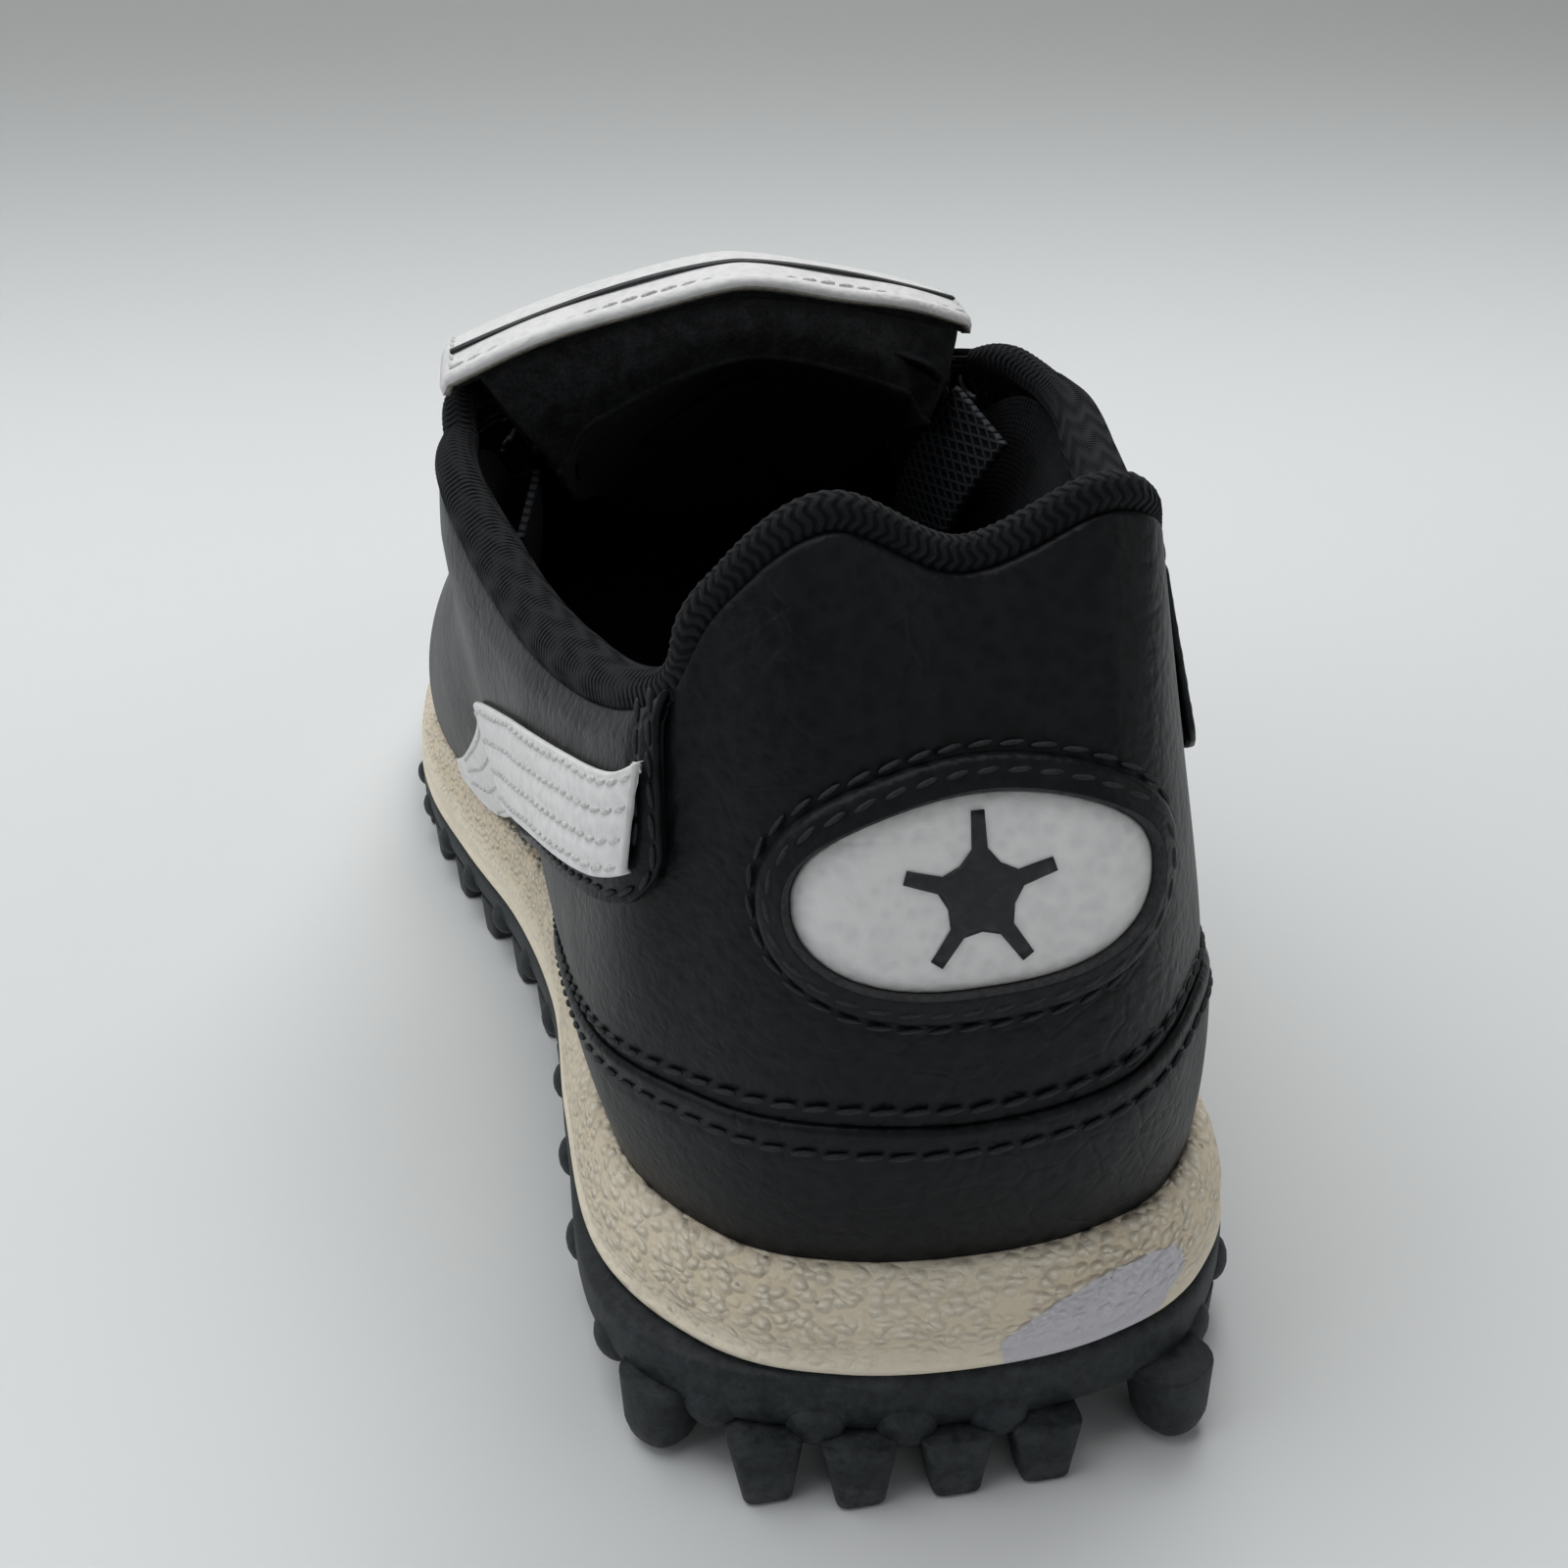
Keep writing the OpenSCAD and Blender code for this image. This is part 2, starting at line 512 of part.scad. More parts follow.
// Woven elastics that keep the tongue central, from the lining up to its edge
strap_w = 14;
module elastic(path, across) {
    grid = [for (p = path) [for (j = [0:2]) scaled(p) + across * strap_w * (j - 1) / 2]];
    layer(grid, 0.5, -0.5);
}
module elastic_lateral() {
    color("#3c4148")
        elastic([[-33.5, 108, 74], [-33.5, 119, 62], [-34.5, 127, 54], [-36, 134, 47]],
                [-0.25, -0.83, -0.5]);
}
module elastic_medial() {
    color("#3c4148")
        elastic([[31, 107.4, 81.6], [25.5, 119, 69], [26, 128, 57], [28.6, 136, 47]],
                [0.3, -0.83, -0.47]);
}

// ---- Fold-over flap ----
flap_y = 108;           // its sewn edge, along the tongue's top
flap_rise = [[0, 100.4], [0.12, 101.7], [0.28, 102], [0.5, 99.6], [0.75, 94], [1, 86.5]];
flap_width = [[0, 1], [0.5, 0.97], [0.75, 0.9], [0.9, 0.76], [1, 0.5]];
flap_rows = 9;
flap_cols = 12;
function flap_point(u, v) =
    let (half = v < 0 ? 41 : 34, w = lookup(u, flap_width), drop = v < 0 ? 11.6 : 7.5)
    [(-3 + v * half * w) * k.x,
     flap_y * k.y + flap_l * u + (v < 0 ? 3 : 9) * pow(abs(v), 2) * (1 - u),
     (lookup(u, flap_rise) - drop * pow(abs(v) * w, 1.5)) * k.z];
function flap_grid(u0, u1, reach, rows) = [for (i = [0:rows]) [for (j = [0:flap_cols])
    flap_point(u0 + (u1 - u0) * i / rows, reach * (2 * j / flap_cols - 1))]];
flap_t = 1.4;

module flap_outer() { color("#f4f3f0") layer(flap_grid(0, 1, 1, flap_rows), flap_t, 0); }
module flap_lining() {
    color("#17191d") layer(flap_grid(0.02, 0.97, 0.97, flap_rows), -0.2, -1.2);
}
module flap_trim() {
    color("#17191d") layer(flap_grid(0.115, 0.145, 0.95, 1), flap_t + 0.5, flap_t + 0.15);
}

module place() { translate(-centre) children(); }
place() outsole();
place() midsole();
place() strobel_board();
place() sockliner_foam();
place() sockliner_cloth();
place() heel_counter();
place() toe_puff();
place() vamp();
place() vamp_lining();
place() heel_panel();
place() heel_foxing();
place() quarter_lateral();
place() quarter_medial();
place() side_band_lateral();
place() side_band_medial();
place() eyestay_lateral();
place() eyestay_medial();
place() quarter_lining();
place() collar_padding();
place() collar_binding();
place() patch_frame();
place() heel_patch();
place() emblem();
place() tongue_outer();
place() tongue_padding();
place() tongue_lining();
place() tongue_label();
place() elastic_lateral();
place() elastic_medial();
place() flap_outer();
place() flap_trim();
place() flap_lining();
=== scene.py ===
"""Soccer turf trainer, left foot: studded rubber outsole, foam midsole, black leather upper with
a white side band and an oval heel patch, a knit collar, and a tongue with a fold-over flap.
+Y points to the toe, +X to the inner (medial) side, +Z up. Every length is in metres unless a
name or comment says millimetres."""
import math

import bpy
import bmesh
import numpy as np
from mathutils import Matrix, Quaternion, Vector


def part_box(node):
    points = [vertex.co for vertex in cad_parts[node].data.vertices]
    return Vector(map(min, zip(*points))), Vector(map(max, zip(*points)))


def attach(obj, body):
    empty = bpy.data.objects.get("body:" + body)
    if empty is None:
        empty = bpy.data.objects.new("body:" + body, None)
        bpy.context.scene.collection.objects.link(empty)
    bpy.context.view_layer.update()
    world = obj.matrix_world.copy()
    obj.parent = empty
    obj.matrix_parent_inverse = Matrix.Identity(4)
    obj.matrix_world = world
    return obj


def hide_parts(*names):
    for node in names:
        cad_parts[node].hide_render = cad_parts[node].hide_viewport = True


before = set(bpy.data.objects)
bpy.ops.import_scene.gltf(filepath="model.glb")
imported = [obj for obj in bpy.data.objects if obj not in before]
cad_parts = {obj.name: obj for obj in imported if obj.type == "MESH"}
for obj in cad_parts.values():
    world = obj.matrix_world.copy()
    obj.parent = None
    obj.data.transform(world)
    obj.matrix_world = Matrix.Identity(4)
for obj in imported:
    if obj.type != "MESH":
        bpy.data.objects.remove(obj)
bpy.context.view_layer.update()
MM = 0.001


# ---- The last: one surface that every part of the upper follows ----
# Stations round the foot, in millimetres, from the heel's centre along the lateral side to the
# toe and back along the medial side: feather point, top-line point, the swell out and up from
# the feather point, and the swell out and the drop below the top line.
STATIONS = [
    [[0.5, 5.5], [0, 13, 90], [8, 22], [10, 24]],
    [[-11.5, 7], [-11.5, 12.5, 94.5], [8, 22], [9, 26]],
    [[-21.5, 12.5], [-20.5, 14.5, 88], [6, 22], [5, 24]],
    [[-29.5, 27], [-26, 19, 77.5], [6, 20], [6, 20]],
    [[-31, 52], [-32.5, 45, 71.5], [7, 16], [4, 16]],
    [[-31, 80], [-39, 78, 72], [6, 14], [2, 16]],
    [[-35, 108], [-44, 105, 80], [4, 16], [0, 18]],
    [[-42, 134], [-38, 119, 84], [5, 18], [5, 16]],
    [[-48, 160], [-27.5, 136, 81.5], [4, 20], [12, 12]],
    [[-50, 186], [-17, 160, 76], [4, 20], [16, 8]],
    [[-47, 215], [-10, 186, 66], [4, 16], [20, 3]],
    [[-38, 244], [-3, 210, 56], [4, 13], [20, 0]],
    [[-19, 271], [1, 234, 50], [4, 12], [20, 0]],
    [[8, 284.5], [5, 243, 48.5], [4, 12], [20, -1]],
    [[32, 271], [9, 234, 50], [4, 12], [19, 0]],
    [[43, 243], [11, 210, 56.5], [4, 13], [18, 0]],
    [[46, 214], [14, 187, 66.5], [4, 16], [16, 3]],
    [[45, 187], [19, 161, 76.5], [4, 20], [13, 8]],
    [[39, 160], [28, 137, 85.5], [4, 20], [9, 12]],
    [[33, 134], [36.5, 118, 88], [4, 20], [3, 16]],
    [[30, 107], [42, 103, 84], [4, 18], [0, 18]],
    [[29, 80], [37.5, 80, 81.5], [4, 14], [0, 16]],
    [[30, 52], [30, 51, 81.5], [5, 16], [3, 16]],
    [[29.5, 26], [22.5, 27, 86.5], [4, 20], [3, 20]],
    [[22, 12.5], [18, 15.5, 93], [4, 22], [4, 24]],
    [[12, 7], [11.5, 12.5, 94.5], [8, 22], [9, 26]],
]
COUNT = len(STATIONS)
TOE = COUNT / 2
FEATHER = [[0, 23.2], [60, 22.6], [120, 21], [180, 19.5], [230, 20.5], [262, 23.5], [290, 29]]
JOINT = [[0, 13.7], [60, 12.4], [120, 10.4], [180, 9.4], [228, 9.8], [262, 13], [290, 19.5]]


def table(x, rows):
    """A number as it is, or a table's value at x."""
    if isinstance(rows, (int, float)):
        return np.full(np.shape(x), float(rows))
    return np.interp(x, [r[0] for r in rows], [r[1] for r in rows])


def unit(v):
    """Vectors at a length of one."""
    return v / np.maximum(np.linalg.norm(v, axis=-1, keepdims=True), 1e-12)


def plan_out(tangent):
    """The way out from the shoe, level, for a way along its edge."""
    return unit(np.stack([-tangent[..., 1], tangent[..., 0], np.zeros(tangent.shape[:-1])], -1))


def wall_controls():
    """Four control points up the wall at each station."""
    base = np.array([[*st[0], np.interp(st[0][1], *zip(*FEATHER))] for st in STATIONS])
    top = np.array([st[1] for st in STATIONS], float)
    low, high = (np.array([st[k] for st in STATIONS], float) for k in (2, 3))
    out = plan_out(np.roll(base, -1, 0) - np.roll(base, 1, 0))
    up = np.array([0, 0, 1.0])
    return np.stack([base, base + out * low[:, :1] + up * low[:, 1:],
                     top + out * high[:, :1] - up * high[:, 1:], top], 1)


CONTROLS = wall_controls()

# The table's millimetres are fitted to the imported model's own size, by the sole's width and
# length and the heel lobe's top in the table's millimetres
TABLE_WIDTH, TABLE_LENGTH, TABLE_TOP = 106.06, 289.0, 91.53
sole_low, sole_high = (np.array(v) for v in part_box("outsole"))
lobe_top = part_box("heel_panel")[1].z
SCALE = np.array([(sole_high[0] - sole_low[0]) / TABLE_WIDTH,
                  (sole_high[1] - sole_low[1]) / TABLE_LENGTH, lobe_top / TABLE_TOP])
MIDDLE = np.array([(sole_low[0] + sole_high[0]) / 2, (sole_low[1] + sole_high[1]) / 2, 0])


def place(p):
    """From the table's millimetres to the object's frame."""
    return (np.asarray(p, float) - [-2, 145, 0]) * SCALE + MIDDLE


def walls(s):
    """The wall's control points at stations, smooth from one station to the next."""
    s = np.asarray(s, float)
    i = np.floor(s).astype(int)
    f = (s - i)[..., None, None]
    a, b, c, d = (CONTROLS[(i + n) % COUNT] for n in (-1, 0, 1, 2))
    return 0.5 * (2 * b + (c - a) * f + (2 * a - 5 * b + 4 * c - d) * f ** 2
                  + (3 * b - a - 3 * c + d) * f ** 3)


def bezier(c, t):
    """Points t of the way along the curves of four control points."""
    t = t[..., None]
    return (c[..., 0, :] * (1 - t) ** 3 + c[..., 1, :] * 3 * t * (1 - t) ** 2
            + c[..., 2, :] * 3 * t * t * (1 - t) + c[..., 3, :] * t ** 3)


def last(s, t, d=0.0):
    """Points on the upper in table millimetres: s stations round, t of the way up the wall,
    d millimetres outside the leather's face."""
    s, t, d = (np.array(v, float) for v in np.broadcast_arrays(s, t, d))
    c = walls(s)
    along = bezier(walls(s + 0.05), t) - bezier(walls(s - 0.05), t)
    u = t[..., None]
    rise = ((c[..., 1, :] - c[..., 0, :]) * (1 - u) ** 2
            + (c[..., 2, :] - c[..., 1, :]) * 2 * u * (1 - u)
            + (c[..., 3, :] - c[..., 2, :]) * u * u)
    return bezier(c, t) + unit(np.cross(rise, along)) * d[..., None]


def skin(s, t, d=0.0):
    """The last's points in the object's frame."""
    return place(last(s, t, d))


def skin_normal(s, t):
    """The way out from the upper's face."""
    return unit(last(s, t, 1.0) - last(s, t, 0.0))


def rim(s, out):
    """Points outside the feather edge's outline, in table millimetres."""
    s = np.asarray(s, float)
    base = walls(s)[..., 0, :]
    return base + plan_out(walls(s + 0.05)[..., 0, :] - walls(s - 0.05)[..., 0, :]) \
        * np.asarray(out, float)[..., None]


# ---- Meshes from grids ----
SAME_POINT = 2e-6  # metres


def mesh_piece(name, verts, faces, finish, uvs=None):
    """A smooth-shaded object of one finish from points in metres."""
    mesh = bpy.data.meshes.new(name)
    mesh.from_pydata([tuple(v) for v in verts], [], [tuple(f) for f in faces])
    if uvs is not None:
        layer = mesh.uv_layers.new(name="UVMap")
        index = np.zeros(len(mesh.loops), int)
        mesh.loops.foreach_get("vertex_index", index)
        layer.data.foreach_set("uv", np.asarray(uvs, float)[index].ravel())
    mesh.polygons.foreach_set("use_smooth", [True] * len(mesh.polygons))
    mesh.materials.append(finish)
    obj = bpy.data.objects.new(name, mesh)
    bpy.context.scene.collection.objects.link(obj)
    return obj


def lengths(grid, axis):
    """Running length along one axis of a grid, through its middle."""
    line = np.take(grid, grid.shape[1 - axis] // 2, axis=1 - axis)
    return np.concatenate([[0], np.cumsum(np.linalg.norm(np.diff(line, axis=0), axis=1))])


def grid_piece(name, grid, finish, round_rows=False, round_cols=False, keep=None):
    """A surface from a grid of points; the rows, the columns or both may join up. keep(i, j)
    says which cells are there."""
    m, n = grid.shape[:2]
    faces = []
    for i in range(m if round_rows else m - 1):
        for j in range(n if round_cols else n - 1):
            if keep is None or keep(i, j):
                a, b = (i + 1) % m, (j + 1) % n
                faces.append((i * n + j, i * n + b, a * n + b, a * n + j))
    u, v = lengths(grid, 0), lengths(grid, 1)
    uvs = np.stack(np.broadcast_arrays(u[:, None], v[None, :]), -1).reshape(-1, 2)
    return mesh_piece(name, grid.reshape(-1, 3), faces, finish, uvs)


def thicken(obj, thickness, inward=True):
    """A sheet given its thickness in metres, with a rim along its edges."""
    mod = obj.modifiers.new("Thickness", "SOLIDIFY")
    mod.thickness = thickness
    mod.offset = -1 if inward else 1
    mod.use_rim = True
    return obj


def plain(obj):
    """The object with its modifiers worked into its mesh."""
    dg = bpy.context.evaluated_depsgraph_get()
    mesh = bpy.data.meshes.new_from_object(obj.evaluated_get(dg), preserve_all_data_layers=True,
                                           depsgraph=dg)
    obj.modifiers.clear()
    obj.data = mesh
    return obj


def face_out(obj):
    """The object with its doubled points joined and its faces turned outward."""
    bm = bmesh.new()
    bm.from_mesh(obj.data)
    bmesh.ops.remove_doubles(bm, verts=bm.verts, dist=SAME_POINT)
    bmesh.ops.recalc_face_normals(bm, faces=bm.faces)
    bm.to_mesh(obj.data)
    bm.free()
    return obj


def lines(length, step, edge):
    """Fractions from 0 to 1 about one step apart, with close ones where an edge rolls over."""
    ends = [0, 0.12, 0.35, 0.65, 1]
    inner = max(int((length - 2 * edge) / step), 2)
    e = min(edge / length, 0.4)
    return np.array([e * x for x in ends[:-1]]
                    + list(np.linspace(e, 1 - e, inner + 1))
                    + [1 - e * x for x in reversed(ends[:-1])])


def flip_ends(rows):
    """A table over the station for the other side of the shoe."""
    return rows if isinstance(rows, (int, float)) else [[-r[0], r[1]] for r in reversed(rows)]


def sign_ends(rows):
    """A table of stations for the other side of the shoe."""
    return -rows if isinstance(rows, (int, float)) else [[r[0], -r[1]] for r in rows]


def near(points, paths, width):
    """1 on the paths and 0 away from them, for each point."""
    flat = points.reshape(-1, 3)
    best = np.full(len(flat), 1e9)
    for path in paths:
        for k in range(0, len(path), 64):
            part = path[k:k + 64]
            d = ((flat[:, None, :] - part[None]) ** 2).sum(-1).min(1)
            best = np.minimum(best, d)
    return np.exp(-best / width ** 2).reshape(points.shape[:-1])


def panel_grid(back, front, low, high, depth, step=1.0, edge=0.6, rolled=(1, 1, 1, 1),
               paths=(), groove=0.3, medial=False):
    """The outer face of a panel of the upper. rolled says which of its back, front, low and
    high edges roll over. Each stitched path lies in a groove."""
    if medial:
        back, front = sign_ends(front), sign_ends(back)
        low, high = flip_ends(low), flip_ends(high)
        rolled = (rolled[1], rolled[0], rolled[2], rolled[3])
    mid = [float(table(0.5, e)) for e in (back, front)]
    trial = skin(np.linspace(mid[0], mid[1], 60), 0.5 * (table(sum(mid) / 2, low)
                                                       + table(sum(mid) / 2, high)))
    wide = np.linalg.norm(np.diff(trial, axis=0), axis=1).sum() / MM
    s_mid = np.full(40, sum(mid) / 2)
    tall = np.linalg.norm(np.diff(skin(s_mid, np.linspace(
        float(table(s_mid[0], low)), float(table(s_mid[0], high)), 40)), axis=0),
        axis=1).sum() / MM
    u, v = lines(wide, step, edge)[:, None], lines(tall, step, edge)[None, :]
    s = table(v, back) * (1 - u) + table(v, front) * u
    t = table(s, low) * (1 - v) + table(s, high) * v
    d = np.broadcast_to(table(v, depth), s.shape).copy()
    for on, away in zip(rolled, (u * wide, (1 - u) * wide, v * tall, (1 - v) * tall)):
        if on:
            x = np.clip(1 - away / edge, 0, 1)
            d -= edge * (1 - np.sqrt(1 - x * x))
    if paths:
        d -= groove * near(skin(s, t, d), paths, 0.7 * MM)
    return skin(s, t, d)


def follow(knots, d, count=240, medial=False):
    """A path on the upper through (station, height) knots: its points and the way out."""
    knots = np.array(knots, float)
    k = np.linspace(0, len(knots) - 1, count)
    s, t = (np.interp(k, np.arange(len(knots)), knots[:, c]) for c in (0, 1))
    if medial:
        s = -s
    return skin(s, t, d), skin_normal(s, t)


# ---- Node trees ----
class Wire:
    """One output socket. Arithmetic on it adds Math nodes."""

    def __init__(self, finish, socket):
        self.finish, self.socket = finish, socket

    def math(self, operation, *others):
        values = {i: o for i, o in enumerate(others)}
        return self.finish.node("ShaderNodeMath", {"operation": operation}, values)

    def __add__(self, o):
        return self.math("ADD", self, o)

    __radd__ = __add__

    def __sub__(self, o):
        return self.math("SUBTRACT", self, o)

    def __rsub__(self, o):
        return self.math("SUBTRACT", o, self)

    def __mul__(self, o):
        return self.math("MULTIPLY", self, o)

    __rmul__ = __mul__

    def __truediv__(self, o):
        return self.math("DIVIDE", self, o)

    def sin(self):
        return self.math("SINE", self)

    def abs(self):
        return self.math("ABSOLUTE", self)

    def most(self, o):
        return self.math("MAXIMUM", self, o)


class Finish:
    """One material, built a node at a time."""

    def __init__(self, name, **constants):
        self.material = bpy.data.materials.new(name)
        self.material.use_nodes = True
        self.tree = self.material.node_tree
        self.shader = next(n for n in self.tree.nodes if n.type == "BSDF_PRINCIPLED")
        for key, value in constants.items():
            self.shader.inputs[key.replace("_", " ")].default_value = value
        coords = self.tree.nodes.new("ShaderNodeTexCoord")
        self.spot = Wire(self, coords.outputs["Object"])
        self.sheet = Wire(self, coords.outputs["UV"])

    def node(self, kind, settings=None, sockets=None, out=0):
        made = self.tree.nodes.new(kind)
        for key, value in (settings or {}).items():
            setattr(made, key, value)
        for key, value in (sockets or {}).items():
            if isinstance(value, Wire):
                self.tree.links.new(value.socket, made.inputs[key])
            else:
                made.inputs[key].default_value = value
        return Wire(self, made.outputs[out])

    def noise(self, scale, detail=2.0, at=None, rough=0.5):
        return self.node("ShaderNodeTexNoise", None, {"Vector": at or self.spot, "Scale": scale,
                                                      "Detail": detail, "Roughness": rough})

    def cells(self, scale, feature="F1", at=None):
        return self.node("ShaderNodeTexVoronoi", {"feature": feature},
                         {"Vector": at or self.spot, "Scale": scale}, "Distance")

    def bent(self, scale, amount):
        """The object's coordinates, shifted about by noise."""
        wobble = self.node("ShaderNodeTexNoise", None, {"Vector": self.spot, "Scale": scale,
                                                        "Detail": 2.0}, "Color")
        shift = self.node("ShaderNodeVectorMath", {"operation": "SCALE"},
                          {0: wobble, "Scale": amount})
        return self.node("ShaderNodeVectorMath", {"operation": "ADD"}, {0: self.spot, 1: shift})

    def stretched(self, x, y, z, at=None):
        return self.node("ShaderNodeVectorMath", {"operation": "MULTIPLY"},
                         {0: at or self.spot, 1: (x, y, z)})

    def smooth(self, value, low, high, to_low=0.0, to_high=1.0):
        """value carried smoothly from low..high to to_low..to_high."""
        return self.node("ShaderNodeMapRange", {"interpolation_type": "SMOOTHSTEP"}, {
            "Value": value, "From Min": low, "From Max": high,
            "To Min": to_low, "To Max": to_high})

    def split(self, at=None):
        """The three parts of a vector, the object's coordinates unless another is given."""
        made = self.tree.nodes.new("ShaderNodeSeparateXYZ")
        self.tree.links.new((at or self.spot).socket, made.inputs[0])
        return [Wire(self, made.outputs[i]) for i in range(3)]

    def blend(self, a, b, share):
        return self.node("ShaderNodeMix", {"data_type": "RGBA"}, {0: share, 6: a, 7: b}, 2)

    def bump(self, height, distance, strength=1.0, over=None):
        sockets = {"Height": height, "Distance": distance, "Strength": strength}
        if over:
            sockets["Normal"] = over
        return self.node("ShaderNodeBump", None, sockets)

    def set(self, **wires):
        """The material, with these wires led into its shader."""
        for key, wire in wires.items():
            self.tree.links.new(wire.socket, self.shader.inputs[key.replace("_", " ")])
        return self.material


def leather(name, dark, light, rough, pebble=1.0, grime=None):
    """Embossed leather: soft pebbles in patches, fine pores, long creases and a varied sheen."""
    f = Finish(name, Specular_IOR_Level=0.4 if grime else 0.2)
    at = f.bent(180.0, 0.0014)
    grain = f.cells(760.0, "SMOOTH_F1", at)
    fine = f.cells(1500.0, "F1", at)
    creases = f.cells(210.0, "DISTANCE_TO_EDGE", f.bent(90.0, 0.006))
    patches = f.smooth(f.noise(26.0, 2.0), 0.35, 0.68)
    height = (grain * (0.45 + patches * 0.55) + fine * 0.25
              - f.smooth(creases, 0.0, 0.09, 0.35, 0.0) * patches)
    base = f.blend(dark, light, f.smooth(grain + f.noise(60.0, 3.0) * 0.5, 0.3, 1.0))
    if grime:
        wear = f.smooth(f.noise(85.0, 6.0, rough=0.7), 0.56, 0.74)
        base = f.blend(base, grime, wear * 0.12)
    return f.set(Base_Color=base,
                 Roughness=f.noise(120.0, 3.0) * 0.16 + (rough - 0.08) + patches * 0.04,
                 Normal=f.bump(height, 0.00022 * pebble, 0.8))


def knit(name, dark, light, rib):
    """Knitted cloth: ribs across the strip with small loops between them."""
    f = Finish(name, Specular_IOR_Level=0.15, Sheen_Weight=0.05, Sheen_Roughness=0.5)
    u, v, _ = f.split(f.sheet)
    loops = (u * (2 * math.pi / rib) + (v * (2 * math.pi / (rib * 1.6))).sin() * 1.2).sin()
    yarn = f.noise(2600.0, 3.0)
    height = f.smooth(loops, -1.0, 0.8) + yarn * 0.35
    return f.set(Base_Color=f.blend(dark, light, f.smooth(height, 0.1, 1.3)),
                 Roughness=0.82 + yarn * 0.12, Normal=f.bump(height, 0.00025, 0.9))


def felt(name, dark, light, mesh=0.0):
    """Brushed lining: short fibres, pilling, and a faint mesh where asked for."""
    f = Finish(name, Specular_IOR_Level=0.1, Sheen_Weight=0.04, Sheen_Roughness=0.6)
    fibres = f.noise(2100.0, 5.0, rough=0.75)
    tufts = f.noise(420.0, 4.0, rough=0.6)
    height = fibres * 0.6 + tufts * 0.6
    if mesh:
        u, v, _ = f.split(f.sheet)
        k = 2 * math.pi / mesh
        height = height + ((u * k).sin() * (v * k).sin()).abs() * 0.8
    return f.set(Base_Color=f.blend(dark, light, f.smooth(fibres * 0.6 + tufts * 0.5, 0.42, 0.72)),
                 Roughness=0.86 + fibres * 0.12, Normal=f.bump(height, 0.0003, 0.9))


def woven(name, dark, light, pitch):
    """Woven elastic: slanted ribs that meet in diamonds."""
    f = Finish(name, Specular_IOR_Level=0.25)
    u, v, _ = f.split(f.sheet)
    k = 2 * math.pi / pitch
    one, two = ((u + v * 0.6) * k).sin(), ((u - v * 0.6) * k).sin()
    height = f.smooth(one.most(two), -0.2, 1.0) + f.noise(1800.0, 3.0) * 0.3
    return f.set(Base_Color=f.blend(dark, light, f.smooth(height, 0.3, 1.2)),
                 Roughness=0.6 + f.noise(300.0, 2.0) * 0.2, Normal=f.bump(height, 0.0004, 1.0))


def thread(name, dark, light):
    """Spun thread: short fibres that catch the light."""
    f = Finish(name)
    u = f.noise(2500.0, 3.0)
    return f.set(Base_Color=f.blend(dark, light, f.smooth(u, 0.35, 0.65)),
                 Roughness=0.55 + u * 0.25, Normal=f.bump(u, 0.0001, 0.6))


def cream_foam():
    """Moulded foam skin: crinkled cells over the upper wall, a smooth band below, scuffs, and a
    rubbed pale spot at the back."""
    f = Finish("cream_foam", Specular_IOR_Level=0.35)
    x, y, z = f.split()
    at = f.stretched(0.8, 0.8, 1.2, f.bent(260.0, 0.0016))
    pits = f.cells(820.0, "F1", at)
    ridges = f.smooth(pits, 0.05, 0.8)
    patches = f.smooth(f.noise(38.0, 2.0), 0.25, 0.6, 0.65, 1.0)
    wall = f.smooth(z, 0.0135, 0.0185, 0.18, 1.0) * f.smooth(z, 0.0225, 0.0255, 1.0, 0.55)
    grain = f.noise(900.0, 4.0, rough=0.7)
    scratches = f.noise(260.0, 5.0, f.stretched(0.5, 0.5, 6.0), 0.7)
    # the rubbed spot leans along the wall beside the heel's centre
    along = (x - 0.0148) / 0.0106
    up = (z - 0.0166 - (x - 0.0148) * 0.14) / 0.0042
    ahead = f.smooth(y, -0.128, -0.122)
    spot = f.smooth(along * along + up * up + f.noise(420.0, 3.0) * 0.35 + ahead * 9, 1.1, 1.22,
                    1.0, 0.0)
    dirt = f.smooth(f.noise(55.0, 6.0, rough=0.68), 0.5, 0.8)
    specks = f.smooth(f.noise(520.0, 2.0), 0.735, 0.77)
    relief = patches * wall
    base = f.blend((0.90, 0.82, 0.66, 1), (0.77, 0.66, 0.49, 1),
                   f.smooth(ridges * relief + grain * 0.3, 0.25, 1.15))
    base = f.blend(base, (0.58, 0.48, 0.34, 1), dirt * 0.28)
    base = f.blend(base, (0.60, 0.50, 0.36, 1), f.smooth(scratches, 0.6, 0.75) * 0.4)
    base = f.blend(base, (0.66, 0.65, 0.71, 1), spot * 0.92)
    base = f.blend(base, (0.10, 0.085, 0.07, 1), specks * 0.5)
    height = grain * 0.3 - ridges * relief * (1 - spot * 0.45) - scratches * 0.15
    return f.set(Base_Color=base, Roughness=0.55 + grain * 0.22,
                 Normal=f.bump(height, 0.0009, 1.0))


